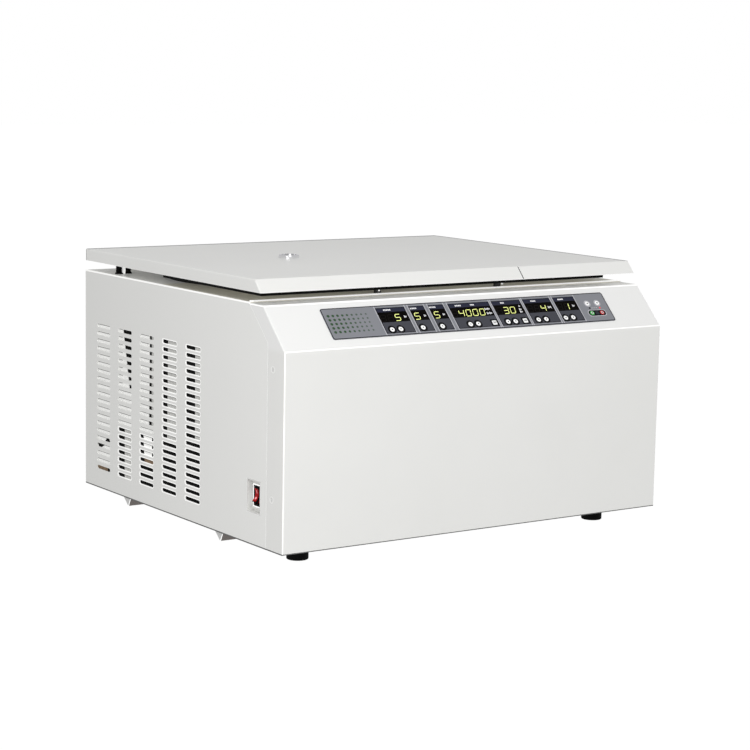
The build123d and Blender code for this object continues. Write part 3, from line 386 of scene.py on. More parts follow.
def end_shade_zone(end):
    """The last three millimetres before the rear end of a sheet, darkened as a painted shade outline."""
    return "Y", end - 3.2 * mm, end - 2.8 * mm, END_PAINTED_SHADE


def window_glass():
    """Clear glass with a slight green cast and a little haze."""
    material, tree, shader = new_material("window_glass")
    haze = noise(tree, object_place(tree), 0.01, 3)
    feed(shader, {
        "Base Color": (0.93, 0.97, 0.95), "Roughness": spread(haze, 0.02, 0.09),
        "Transmission Weight": 1, "IOR": 1.5,
    })
    return material


def foam():
    """Pale closed-cell foam with visible cells."""
    material, tree, shader = new_material("foam")
    place = object_place(tree)
    cells = add_node(tree, "TexVoronoi", {"Vector": place, "Scale": 1 / 0.002})
    patches = spread(noise(tree, place, 0.05, 3), 0, 1)
    feed(shader, {
        "Base Color": blend_colours(patches, (0.70, 0.66, 0.50), (0.86, 0.84, 0.72)),
        "Roughness": 0.85,
    })
    relief(shader, cells.outputs["Distance"], 0.0003)
    return material


def circuit_board():
    """Green solder mask with fine traces."""
    material, tree, shader = new_material("circuit_board")
    traces = add_node(tree, "TexBrick", {
        "Vector": object_place(tree), "Scale": 90, "Mortar Size": 0.012,
        "Color1": (0.015, 0.12, 0.05), "Color2": (0.02, 0.16, 0.06), "Mortar": (0.05, 0.30, 0.12),
    })
    feed(shader, {"Base Color": traces.outputs["Color"], "Roughness": 0.35})
    relief(shader, traces.outputs["Fac"], 0.00003)
    return material


def paint_slot_lip_highlights(material):
    """Paints a glowing highlight on the lips of the front and lower slots of the vents."""
    tree, shader, painted_highlight_glow = taken_up(material, "Emission Color")
    parts = add_node(tree, "SeparateXYZ", {"Vector": object_place(tree)})
    offsets = []
    for axis, middle, half_pitch, half_length in (
        ("Y", VENT_MIDDLE[0], VENT_PITCH[0] / 2, (VENT_L - VENT_H) / 2),
        ("Z", VENT_MIDDLE[1] + VENT_PITCH[1] / 2, VENT_PITCH[1] / 2, 0),
    ):
        value = parts.outputs[axis]
        for operation, *numbers in (
            ("SUBTRACT", middle), ("WRAP", half_pitch, -half_pitch), ("ABSOLUTE",),
            ("SUBTRACT", half_length), ("MAXIMUM", 0),
        ):
            inputs = dict(enumerate([value, *numbers]))
            value = add_node(tree, "Math", inputs, operation).outputs["Value"]
        offsets.append(value)
    flat = add_node(tree, "CombineXYZ", dict(enumerate(offsets))).outputs["Vector"]
    reach = add_node(tree, "VectorMath", {0: flat}, "LENGTH").outputs["Value"]
    lip_end = VENT_H / 2 + LIP_W
    lip = spread(reach, 0, 1, from_low=lip_end, from_high=lip_end - SOFT)
    for y_band, z_band in LIP_ZONES:
        share = times(lip, band_share(tree, "Y", *y_band))
        share = times(share, band_share(tree, "Z", *z_band))
        painted_highlight_glow = blend_colours(share, painted_highlight_glow, LIP_GLINT)
    feed(shader, {"Emission Color": painted_highlight_glow})
    return material


def deck_paint():
    """Deck lacquer, tinted olive in front as painted shade and reflection and neutral grey towards the
    rear, with a faint glow of painted light that is stronger at the rear.
    """
    material = coated("deck_paint", DECK_FRONT_PAINTED_SHADE, DECK_FRONT_PAINTED_SHADE_DARK, PAINT_ROUGH, PAINT_GRAIN, PAINT_DEPTH)
    tree, shader, colour = taken_up(material, "Base Color")
    share = place_share(tree, "Y", REAR_DECK - 2 * mm, REAR_DECK)
    feed(shader, {
        "Base Color": blend_colours(share, colour, REAR_DECK_PAINT),
        "Emission Color": blend_colours(share, DECK_PAINTED_GLOW, REAR_DECK_PAINTED_GLOW), "Emission Strength": 1,
    })
    return material


# Light colour, dark colour, roughness, grain, depth of the grain, size of the patches, other sockets
COATS = {
    # hinge_paint glows faintly, painted light on the hinges in the shade under the lid
    "hinge_paint": (
        (0.62, 0.62, 0.60), (0.52, 0.52, 0.50), PAINT_ROUGH, PAINT_GRAIN, PAINT_DEPTH, 0.02,
        {"Emission Color": (1, 1, 0.97), "Emission Strength": 0.19},
    ),
    "rubber": (
        grey(0.004), grey(0.002), 0.62, 0.0007, 0.00006, 0.12,
        {"Specular IOR Level": 0.07},
    ),
    "zinc": ((0.70, 0.70, 0.68), (0.52, 0.53, 0.54), 0.30, 0.0015, 0.00001, 0.008, {"Metallic": 1}),
    "striker_steel": ((0.050, 0.050, 0.052), (0.022, 0.022, 0.024), 0.36, 0.0012, 0.00001, 0.006),
    "chrome": ((0.86, 0.86, 0.88), (0.78, 0.78, 0.80), 0.07, 0.004, 0.000004, 0.01, {"Metallic": 1}),
    "motor_paint": ((0.030, 0.032, 0.036), (0.016, 0.017, 0.019), 0.38, 0.0016, 0.00005),
    "black_plastic": (
        (0.006, 0.006, 0.0065), (0.003, 0.003, 0.0035), 0.45, 0.0005, 0.00003, 0.03,
        {"Specular IOR Level": 0.08},
    ),
    "overlay_film": ((0.226, 0.232, 0.256), (0.210, 0.216, 0.238), 0.42, 0.0004, 0.000006, 0.05),
    "white_plastic": ((0.78, 0.78, 0.76), (0.72, 0.72, 0.70), 0.38, 0.0006, 0.00001, 0.02),
    # key_white glows faintly, painted light that brightens the white keys
    "key_white": (
        grey(0.90), (0.85, 0.85, 0.84), 0.18, 0.0009, 0.000004, 0.01,
        {"Emission Color": WHITE, "Emission Strength": 0.12},
    ),
    "key_green": ((0.045, 0.46, 0.085), (0.030, 0.36, 0.060), 0.20, 0.0009, 0.000004, 0.01),
    "key_red": ((0.62, 0.018, 0.020), (0.50, 0.012, 0.014), 0.20, 0.0009, 0.000004, 0.01),
    "rocker_red": (
        (0.50, 0.0012, 0.004), (0.30, 0.0010, 0.003), 0.30, 0.002, 0.00002, 0.004,
        {"Specular IOR Level": 0.10},
    ),
    # a white finish that glows, for painted highlights on trims, rims and edges
    "glowing_highlight": (
        (0.95, 0.95, 0.94), (0.90, 0.90, 0.89), 0.25, 0.002, 0.00001, 0.12,
        {"Emission Color": WHITE, "Emission Strength": 0.5},
    ),
    # the baffle glows faintly as painted light, so the pale sheets behind the vents read brighter than the
    # panel
    "baffle": (
        (0.95, 0.95, 0.93), (0.90, 0.90, 0.88), 0.5, 0.002, 0.00002, 0.03,
        {"Emission Color": WHITE, "Emission Strength": 0.10},
    ),
    "felt": ((0.62, 0.62, 0.60), (0.46, 0.46, 0.44), 0.8, 0.0012, 0.0001, 0.004),
    "brown_board": ((0.30, 0.20, 0.12), (0.14, 0.09, 0.05), 0.8, 0.001, 0.00008, 0.006),
    "vent_shade": ((0.40, 0.40, 0.39), (0.32, 0.32, 0.31), 0.8, 0.0012, 0.00005, 0.01),
    # black for painted shade behind the vents
    "painted_shade_black": (grey(0.004), grey(0.002), 0.9, 0.0015, 0.0003, 0.12, {"Specular IOR Level": 0.1}),
    "seam_dark": ((0.060, 0.060, 0.062), (0.040, 0.040, 0.042), 0.5, 0.001, 0.00001, 0.01),
    # grey for bands of painted shade along the lid's rear and right edges
    "outline_shade_grey": (grey(0.31), grey(0.27), 0.5, 0.001, 0.00001, 0.02),
    "cap_paint": ((0.66, 0.66, 0.65), (0.56, 0.56, 0.55), 0.4, PAINT_GRAIN, 0.00002, 0.01),
}

# Light colour, dark colour, roughness, stretch of the lines
METALS = {
    "stainless": ((0.68, 0.68, 0.67), (0.52, 0.52, 0.51), 0.24),
    "rotor_alloy": ((0.66, 0.67, 0.68), (0.50, 0.51, 0.52), 0.32, (1, 0.05, 1)),
    "fins": ((0.72, 0.73, 0.74), (0.56, 0.57, 0.58), 0.30, (1, 1, 0.05)),
    "copper": ((0.78, 0.42, 0.27), (0.46, 0.22, 0.12), 0.26, (1, 1, 0.1)),
}


def painted_sheets():
    """The paints of the sheet-metal parts by name."""
    # painted shade on the V rails below the skirt
    rail_shade_zone = ("Z", SKIRT + 0.9 * mm, SKIRT + 0.2 * mm, RAIL_PAINTED_SHADE)
    return {
        "paint": sheet_paint("paint", PAINT, PAINT_SHADE, [end_shade_zone(REAR)]),
        "fascia_paint": sheet_paint(
            "fascia_paint", PAINT, PAINT_SHADE, [("Z", 0.276, 0.284, SLOPE_PAINTED_LIGHT), SKIRT_SHADE_ZONE],
            # painted highlights along the top of the slope and down the front corners
            highlight_bands=(
                ("Z", SLOPE_TOP - 1.7 * mm, SLOPE_TOP - 0.5 * mm),
                ("Y", FRONT + 0.4 * mm, FRONT + 1.2 * mm),
            ),
        ),
        "side_paint": paint_slot_lip_highlights(sheet_paint(
            "side_paint", SIDE_PAINTED_LIGHT, SIDE_PAINTED_LIGHT_DARK, [("Y", -0.22, 0.25, SIDE_REAR_PAINTED_SHADE), SKIRT_SHADE_ZONE],
            # painted highlight along the top edge of the side panel
            highlight_bands=[("Z", SIDE_TOP - 1.8 * mm, SIDE_TOP)],
        )),
        "lid_paint": sheet_paint(
            "lid_paint", PAINT, PAINT_SHADE, [end_shade_zone(LID_END)], edge_r=0.7 * mm, glint=grey(0.2),
        ),
        "liner_paint": sheet_paint("liner_paint", LINER_PAINT, LINER_SHADE, edge=None),
        "base_paint": sheet_paint("base_paint", PAINT, PAINT_SHADE, [rail_shade_zone], edge=None),
    }


def finishes():
    """Every finish by name."""
    return {
        **painted_sheets(),
        **{name: coated(name, *coat) for name, coat in COATS.items()},
        **{name: drawn_metal(name, *metal) for name, metal in METALS.items()},
        "deck_paint": deck_paint(), "window_glass": window_glass(), "foam": foam(),
        "board": circuit_board(),
    }


# Slots of the record whose finish has another name
OTHER_NAMES = {
    "cabinet_paint": "paint", "black_rubber": "rubber", "zinc_steel": "zinc", "cooling_fins": "fins",
    "overlay": "overlay_film",
}


def dress_cad_pieces(finish):
    """Each CAD piece gets the finish of its slot in the record."""
    for entry in frame["record"]["subparts"]:
        name = entry["material_slot"]
        for slot in nodes[entry["node"]].material_slots:
            slot.material = finish[OTHER_NAMES.get(name, name)]


# ---- control panel
FACE_H = 257 * mm  # upright part of the front
SLOPE_RUN = 53 * mm
FILM_T = 1 * mm
FILM_RISE = 0.08 * mm  # how far print stands above the film
KEY_TOP = 1.6 * mm

PANEL_FOOT = Vector((0, FRONT, SKIRT + FACE_H))
PANEL_UP = Vector((0, SLOPE_RUN, SLOPE_TOP - PANEL_FOOT.z)).normalized()
PANEL_OUT = Vector((1, 0, 0)).cross(PANEL_UP)


def panel_point(x, along, height):
    """A point of the sloped face: across and up the slope in millimetres, and out from it in metres."""
    return PANEL_FOOT + Vector((x * mm, 0, 0)) + along * mm * PANEL_UP + height * PANEL_OUT


def layer(low, thickness=FILM_RISE):
    """Where a layer of print starts and ends above the sloped face."""
    return low, low + thickness


PRINT = layer(FILM_T)
OVERPRINT = layer(PRINT[1])
ON_KEY = layer(KEY_TOP)


def arc(x, along, radius, start, end, steps=5):
    """Points on an arc between two angles in degrees."""
    turns = [radians(start + (end - start) * step / steps) for step in range(steps + 1)]
    return [(x + radius * cos(turn), along + radius * sin(turn)) for turn in turns]


def half_circle(x, along, radius, side, start):
    """Half a circle on one side of x, from its lower end (start -1) or its upper end (start 1)."""
    turns = [radians(start * (90 - 15 * step)) for step in range(13)]
    return [(x + side * radius * cos(turn), along + radius * sin(turn)) for turn in turns]


def bar(left, right, low, high):
    """Outline of a plain rectangle."""
    return [(left, low), (right, low), (right, high), (left, high)]


def rounded(left, right, low, high, radius):
    """Outline of a rounded rectangle."""
    corners = (
        (right - radius, low + radius, -90), (right - radius, high - radius, 0),
        (left + radius, high - radius, 90), (left + radius, low + radius, 180),
    )
    return [point for x, along, start in corners for point in arc(x, along, radius, start, start + 90)]


def disc(x, along, radius, steps=32):
    """Outline of a disc."""
    return arc(x, along, radius, 0, 360 - 360 / steps, steps - 1)


def new_piece(name, verts, faces, material, body):
    """A mesh object that rides on a body and takes the given finish."""
    mesh = bpy.data.meshes.new(name)
    mesh.from_pydata([tuple(vert) for vert in verts], [], faces)
    mesh.validate()
    mesh.materials.append(material)
    piece = bpy.data.objects.new(name, mesh)
    bpy.context.scene.collection.objects.link(piece)
    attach(piece, body)
    return piece


def prism_faces(first, count):
    """Faces of a prism between two outlines of count points, numbered from first."""
    near = range(first, first + count)
    faces = [list(reversed(near)), [index + count for index in near]]
    for index in near:
        after = first + (index - first + 1) % count
        faces.append([index, after, after + count, index + count])
    return faces


def add_prisms(name, prisms, material, body, flip=False):
    """One piece made of prisms, each given by its two end outlines. Flip turns the faces over."""
    verts = []
    faces = []
    for near, far in prisms:
        faces += prism_faces(len(verts), len(near))
        verts += [*near, *far]
    if flip:
        faces = [face[::-1] for face in faces]
    return new_piece(name, verts, faces, material, body)


def add_plates(name, outlines, heights, material, body="cabinet"):
    """Thin plates on the sloped face, one for each outline."""
    prisms = [
        [[panel_point(x, along, height) for x, along in outline] for height in heights]
        for outline in outlines
    ]
    return add_prisms(name, prisms, material, body)


def add_rings(name, pairs, heights, material):
    """Flat rings on the sloped face, each between an outer and an inner outline."""
    verts = []
    faces = []
    for outer, inner in pairs:
        first = len(verts)
        count = len(outer)
        for height in heights:
            verts += [panel_point(x, along, height) for x, along in [*outer, *inner]]
        outer_low, inner_low, outer_high, inner_high = range(first, first + 4 * count, count)
        for index in range(count):
            after = (index + 1) % count
            for near, far in (
                (outer_high, inner_high), (inner_low, outer_low), (outer_low, outer_high),
                (inner_high, inner_low),
            ):
                faces.append((near + index, near + after, far + after, far + index))
    return new_piece(name, verts, faces, material, "cabinet")


# Blocks of the panel, measured along X and up the slope in millimetres
FILM_LEFT, FILM_RIGHT = -231.5, 236
FILM_LOW, FILM_HIGH = 14.5, 64
BLOCKS = ((-148, -102), (-95.5, -71), (-64, -39.5), (-32, 36), (40.3, 89), (93.5, 140.5), (146, 183))
BLOCK_LOW, BLOCK_HIGH = 18.2, 59.8
BLOCK_EDGE = 0.9
LENS_LOW, LENS_HIGH = 36.2, 52.6
LENS_T = 0.12
LINE_W = 1.0
SEPARATOR_LOW, SEPARATOR_HIGH = 15.8, 62.6
KEY_ROW = 24.2
ROUND_KEYS = {
    name + "_key": (x, KEY_ROW) for name, x in (
        ("accel_down", -137), ("accel_up", -123.5), ("brake", -88), ("program", -56.8),
        ("speed_down", -10.9), ("speed_up", 2), ("time_down", 52), ("time_up", 64.7),
        ("temperature_down", 104), ("temperature_up", 117.3), ("rotor_down", 151.6), ("rotor_up", 164.6),
    )
}
LIGHT_KEYS = {"lid_key": (201.2, 45.8), "pulse_key": (218.8, 45.8)}
RUN_KEYS = {"start_key": (201.2, 29.1), "stop_key": (218.8, 29.1)}
SQUARE_KEYS = {"speed_mode_key": (29.2, KEY_ROW), "time_mode_key": (81.2, KEY_ROW)}
KEY_FACE_R = 2.3  # the pale middle of the start and stop keys
RIM_R = 6.4
LIGHT_RIM_R = 5.4
HOLE_R = 3.58
KEY_SQUARE = 7
MARK_R = 1.5

# Readouts
DIGIT_W, DIGIT_H = 8.4, 11.2
DIGIT_LOW = 37.4
DIGIT_STROKE = 0.95
DIGIT_LEAN = 0.2
DIGIT_GAP = 0.2
READOUTS = (
    # lit digits, middle of the first digit, pitch, unlit places before them
    ("5", -119.4, 11.4, 2), ("5", -88.2, 11.4, 0), ("5", -56.6, 11.4, 0), ("4000", -16.2, 11.4, 1),
    ("30", 58.4, 11.2, 1), ("4", 122.6, 11.4, 2), ("1", 163.2, 11.4, 1),
)
SEGMENT_ENDS = {
    # both ends of each stroke, as shares of half the width and half the height of a digit
    "a": (-1, 1, 1, 1), "b": (1, 0, 1, 1), "c": (1, -1, 1, 0), "d": (-1, -1, 1, -1),
    "e": (-1, -1, -1, 0), "f": (-1, 0, -1, 1), "g": (-1, 0, 1, 0),
}
SEGMENTS_OF = {"0": "abcdef", "1": "bc", "3": "abcdg", "4": "bcfg", "5": "acdfg", "8": "abcdefg"}
UNIT_MARKS = (
    # middle along X and up the slope, width
    (-107.1, 43.6, 4.0), (-75.7, 43.2, 3.6), (-45.1, 43.2, 3.6), (28.6, 47.6, 9.0), (29.1, 40.4, 9.0),
    (83.8, 48.8, 2.4), (82.9, 43.4, 4.4), (82.8, 39.4, 5.0), (134.0, 44.0, 6.0), (175.9, 43.9, 4.4),
)
UNIT_H = 3.4
TITLE_BARS = (
    (-136.7, -124.9), (-94.0, -83.5), (-63.4, -52.5), (-21.2, -10.8), (4.1, 10.9), (54.9, 61.3),
    (106.6, 115.5), (153.8, 163.8),
)
TITLE_BAR_LOW, TITLE_BAR_HIGH = 54.8, 57.1

# Dots at the left end of the film
DOT_FIRST = (-223.6, 51.8)
DOT_PITCH = (7.25, 6.5)
DOT_COLUMNS, DOT_ROWS = 9, 5
DOT_R_FIRST, DOT_R_LAST = 2.15, 1.4

STADIUM = (195.2, 225.5, 24.4, 33.8)
STADIUM_RIM = 0.8
LAMPS = ((201.5, 37.9), (219.4, 37.4))
LAMP_R = 1.4


def grown(box, by):
    """A box (left, right, low, high) grown on all sides."""
    left, right, low, high = box
    return left - by, right + by, low - by, high + by


def digit_strokes(x, segments):
    """Outlines of the strokes of one leaning seven-segment digit."""
    half_w = DIGIT_W / 2 - DIGIT_STROKE / 2
    half_h = DIGIT_H / 2 - DIGIT_STROKE / 2
    middle = DIGIT_LOW + DIGIT_H / 2
    outlines = []
    for segment in segments:
        x0, y0, x1, y1 = SEGMENT_ENDS[segment]
        start = Vector((x0 * half_w, y0 * half_h))
        end = Vector((x1 * half_w, y1 * half_h))
        along = (end - start).normalized()
        across = Vector((-along.y, along.x)) * DIGIT_STROKE / 2
        start += along * DIGIT_GAP
        end -= along * DIGIT_GAP
        tip = along * DIGIT_STROKE / 2
        shape = (
            start, start + tip - across, end - tip - across, end, end - tip + across, start + tip + across,
        )
        outlines.append([(x + point.x + DIGIT_LEAN * point.y, middle + point.y) for point in shape])
    return outlines


def unit_strokes(x, along, width):
    """Outlines of a few short bars side by side, which stand for a small unit mark."""
    count = max(2, round(width / 2.2))
    step = width / count
    bars = []
    for index in range(count):
        left = x - width / 2 + index * step
        tall = UNIT_H if index % 2 == 0 else 0.6 * UNIT_H
        bars.append(bar(left, left + 0.7 * step, along - tall / 2, along + tall / 2))
    return bars


def add_readouts():
    """Black lenses, lit digits, the unlit strokes round them and the small unit marks."""
    lens = coated(
        "lens", (0.0030, 0.0022, 0.0016), (0.0012, 0.0009, 0.0007), 0.22, 0.003, 0.000004, 0.01,
        {"Specular IOR Level": 0.03},
    )
    lenses = [rounded(left, right, LENS_LOW, LENS_HIGH, 0.4) for left, right in BLOCKS]
    lens_layer = layer(FILM_T, LENS_T * mm)
    add_plates("display_lenses", lenses, lens_layer, lens)
    lit = []
    unlit = []
    for text, first_x, pitch, spare in READOUTS:
        for place in range(-spare, len(text)):
            x = first_x + place * pitch
            shown = SEGMENTS_OF[text[place]] if place >= 0 else ""
            lit += digit_strokes(x, shown)
            unlit += digit_strokes(x, [s for s in SEGMENTS_OF["8"] if s not in shown])
    units = [bar for mark in UNIT_MARKS for bar in unit_strokes(*mark)]
    on_lens = layer(lens_layer[1])
    add_plates("display_digits", lit, on_lens, printed("digit_glow", (0.78, 0.84, 0.28), glow=0.60))
    add_plates("display_unlit_strokes", unlit, on_lens, printed("digit_dim", (0.006, 0.005, 0.004)))
    add_plates("display_units", units, on_lens, printed("unit_white", (0.84, 0.84, 0.86)))


def add_blocks():
    """Dark blocks with black edges, title strips with pale bars, and pale lines between the blocks."""
    inside = [(left + BLOCK_EDGE, right - BLOCK_EDGE) for left, right in BLOCKS]
    low, high = BLOCK_LOW + BLOCK_EDGE, BLOCK_HIGH - BLOCK_EDGE
    edges = [
        (rounded(*block, BLOCK_LOW, BLOCK_HIGH, 0.5), rounded(*inner, low, high, 0.3))
        for block, inner in zip(BLOCKS, inside)
    ]
    add_rings("block_edges", edges, PRINT, printed("print_black", (0.006, 0.006, 0.008), 0.35))
    key_areas = [rounded(*inner, low, LENS_LOW, 0.2) for inner in inside]
    add_plates("key_areas", key_areas, PRINT, printed("print_slate", (0.066, 0.068, 0.082)))
    titles = [rounded(*inner, LENS_HIGH, high, 0.2) for inner in inside]
    add_plates("title_strips", titles, PRINT, printed("print_title", (0.026, 0.028, 0.050)))
    bars = []
    for left, right in TITLE_BARS:
        count = round((right - left) / 2.4)
        step = (right - left) / count
        for index in range(count):
            start = left + index * step
            bars.append(rounded(start, start + 0.78 * step, TITLE_BAR_LOW, TITLE_BAR_HIGH, 0.2))
    add_plates("title_bars", bars, OVERPRINT, printed("print_white", (0.90, 0.90, 0.92)))
    lines = [
        rounded(x, x + LINE_W, SEPARATOR_LOW, SEPARATOR_HIGH, 0.2)
        for left, right in BLOCKS for x in (left - LINE_W - 0.3, right + 0.3)
    ]
    add_plates("separator_lines", lines, PRINT, printed("print_pale", (0.56, 0.56, 0.60)))


def add_film_outline():
    """Dark line round the film."""
    box = (FILM_LEFT, FILM_RIGHT, FILM_LOW, FILM_HIGH)
    outline = rounded(*grown(box, -0.1), 2.9), rounded(*grown(box, -1.3), 1.8)
    add_rings("film_outline", [outline], PRINT, printed("film_edge", (0.012, 0.012, 0.016)))


def dot_print():
    """Dark green print that fades to grey along the film."""
    material, tree, shader = new_material("dot_print")
    colour = blend_colours(
        place_share(tree, "X", -0.206, -0.172), (0.014, 0.062, 0.014), (0.070, 0.105, 0.080),
    )
    mottle = spread(noise(tree, object_place(tree), 0.0012), 0.1, 0)
    feed(shader, {
        "Base Color": blend_colours(mottle, colour, (0.02, 0.03, 0.02)), "Roughness": 0.45,
    })
    return material


def add_dots():
    """Rows of dots that shrink from left to right."""
    dots = []
    for column in range(DOT_COLUMNS):
        x = DOT_FIRST[0] + column * DOT_PITCH[0]
        radius = DOT_R_FIRST + (DOT_R_LAST - DOT_R_FIRST) * column / (DOT_COLUMNS - 1)
        for row in range(DOT_ROWS):
            dots.append(disc(x, DOT_FIRST[1] - row * DOT_PITCH[1], radius, 12))
    add_plates("film_dots", dots, PRINT, dot_print())


def add_key_marks():
    """Black rims round the keys, and a small dark mark on each key."""
    rim_layer = layer(FILM_T, 1.5 * FILM_RISE)
    black = printed("rim_black", (0.005, 0.005, 0.006), 0.35)
    mark = printed("key_mark", (0.010, 0.011, 0.014))
    for name, colour in (("start", (0.62, 0.80, 0.62)), ("stop", (0.86, 0.55, 0.55))):
        key = name + "_key"
        face = disc(*RUN_KEYS[key], KEY_FACE_R)
        material = printed(name + "_face", colour)
        add_plates(key + "_face", [face], layer(KEY_TOP, FILM_RISE / 2), material, key)
    for name, (x, along) in {**ROUND_KEYS, **RUN_KEYS}.items():
        turn = -90 if "down" in name else 90
        triangle = arc(x, along, MARK_R, turn, turn + 240, 2)
        add_plates(name + "_mark", [triangle], ON_KEY, mark, name)
    for name, place in LIGHT_KEYS.items():
        add_plates(name + "_mark", [disc(*place, 1.1, 12)], ON_KEY, mark, name)
    square_rims = []
    for name, (x, along) in SQUARE_KEYS.items():
        half = KEY_SQUARE / 2
        outer = rounded(x - half - 2.5, x + half + 2.5, along - half - 2.3, along + half + 2.3, 1.2)
        inner = rounded(*grown((x - half, x + half, along - half, along + half), 0.2), 1.0)
        square_rims.append((outer, inner))
        bars = [
            rounded(x - 2.0 + step, x - 1.2 + step, along - 1.6, along + 1.6, 0.2) for step in (0, 1.6, 3.2)
        ]
        add_plates(name + "_mark", bars, ON_KEY, mark, name)
    round_rims = [(disc(*place, RIM_R), disc(*place, HOLE_R)) for place in ROUND_KEYS.values()]
    light_rims = [(disc(*place, LIGHT_RIM_R), disc(*place, HOLE_R)) for place in LIGHT_KEYS.values()]
    add_rings("key_rims", round_rims, rim_layer, black)
    add_rings("square_key_rims", square_rims, rim_layer, black)
    add_rings("light_key_rims", light_rims, rim_layer, printed("rim_pale", (0.50, 0.50, 0.53)))


def add_run_field():
    """Black stadium round the start and stop keys, with its pale rim, middle patch and lamps."""
    left, right, bottom, top = STADIUM
    radius = (top - bottom) / 2
    middle = (left + right) / 2
    black = printed("field_black", (0.005, 0.005, 0.006), 0.35)
    pale = printed("field_pale", (0.60, 0.60, 0.63))
    rim = rounded(*grown(STADIUM, STADIUM_RIM), radius), rounded(left, right, bottom, top, radius - 0.01)
    add_rings("run_field_rim", [rim], PRINT, pale)
    parts = []
    for (x, along), side, end in zip(RUN_KEYS.values(), (-1, 1), (left, right)):
        round_end = half_circle(end - side * radius, (top + bottom) / 2, radius, side, -1)
        outer_hole = half_circle(x, along, HOLE_R, side, 1)
        inner_hole = half_circle(x, along, HOLE_R, -side, 1)
        parts.append([(x, bottom), *round_end, (x, top), *outer_hole])
        parts.append([(middle, bottom), (middle, top), (x, top), *inner_hole, (x, bottom)])
    add_plates("run_field", parts, PRINT, black)
    patch = rounded(middle - 3, middle + 3, bottom + 2, top - 2, 0.4)
    add_plates("run_field_patch", [patch], OVERPRINT, printed("field_patch", (0.035, 0.036, 0.048)))
    lamp_layer = (PRINT[0], OVERPRINT[1])
    lid_lamp, run_lamp = LAMPS
    add_plates("lid_lamp", [disc(*lid_lamp, LAMP_R, 14)], lamp_layer, black)
    red = printed("lamp_red", (0.85, 0.09, 0.11), glow=0.25)
    add_plates("run_lamp", [disc(*run_lamp, LAMP_R, 14)], lamp_layer, red)
    x, along = lid_lamp
    dashes = [rounded(x + start, x + start + 2.4, along - 0.3, along + 0.5, 0.2) for start in (3, 7, 11)]
    add_plates("lamp_dashes", dashes, PRINT, pale)


# ---- behind the side vents
SKIN_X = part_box("left_side_panel")[0].x
VENT_MIDDLE = (86 * mm, 156 * mm)  # along Y and up
VENT_PITCH = (64 * mm, 10.8 * mm)
VENT_L = 40 * mm
VENT_H = 5.3 * mm
VENT_COLUMNS, VENT_ROWS = 5, 20
BACKING = (-0.3084, -0.3079)  # sheets glued behind the slots
# black sheet behind the slots, painted shade standing in for the dark inside of the cabinet
SHADE_SHEET_DEPTH = (-0.3079, -0.3050)
WHOLE = ((-0.3, -0.3), (1.3, 1.3))  # past both ends of the slots
TO_REAR, TO_FRONT = WHOLE
VENT_SHEETS = {
    # column, first and last row, then the left and the right end at the top and at the bottom
    "baffle": (
        (0, 1, 19, *WHOLE), (1, 1, 8, TO_REAR, (0.36, 0.86)), (1, 9, 13, *WHOLE),
        (2, 1, 12, TO_REAR, (0.70, 0.66)), (2, 13, 13, *WHOLE), (2, 14, 16, (0.28, 0.34), (0.88, 0.88)),
    ),
    "felt": (
        (1, 14, 20, (0.50, 0.50), TO_FRONT), (2, 1, 12, (0.86, 0.86), TO_FRONT),
        (3, 1, 13, (0.40, 0.36), TO_FRONT), (4, 1, 12, (0.64, 0.66), TO_FRONT),
    ),
    "board": ((0, 20, 20, (0.05, 0.05), (0.8, 0.8)), (2, 17, 17, (0.36, 0.36), TO_FRONT)),
}
VENT_SHADOW_LINES = (
    # painted shadow lines near the top of the pale slots: column, first and last row, left and right end as
    # shares of the slot
    (0, 1, 19, 0.0, 0.98), (1, 1, 8, 0.0, 0.34), (1, 9, 13, 0.0, 0.98), (2, 1, 12, 0.0, 0.66),
    (2, 13, 13, 0.0, 0.98), (2, 14, 16, 0.32, 0.86), (1, 14, 20, 0.52, 0.98), (3, 1, 13, 0.42, 0.98),
    (4, 1, 12, 0.68, 0.98),
)
SIGHT = (2.8 * mm, -0.5 * mm)  # where the sheets lie behind the slots as seen from the front corner


def vent_point(column, share, row):
    """A point behind the slots. Share runs along a slot from rear to front, and rows from the top."""
    y = VENT_MIDDLE[0] + ((VENT_COLUMNS - 1) / 2 - column) * VENT_PITCH[0] + (0.5 - share) * VENT_L
    z = VENT_MIDDLE[1] + ((VENT_ROWS + 1) / 2 - row) * VENT_PITCH[1]
    return y + SIGHT[0], z + SIGHT[1]


def vent_patch(column, first_row, last_row, left, right):
    """A patch over some rows of a column. Left and right give their share at the top and at the bottom."""
    top, bottom = first_row - 0.5, last_row + 0.5
    return [
        vent_point(column, left[0], top), vent_point(column, right[0], top),
        vent_point(column, right[1], bottom), vent_point(column, left[1], bottom),
    ]


def add_uprights(name, outlines, depth, material):
    """Plates parallel to the side panel, each from an outline along Y and Z."""
    prisms = [[[(x, y, z) for y, z in outline] for x in depth] for outline in outlines]
    return add_prisms(name, prisms, material, "cabinet", flip=True)


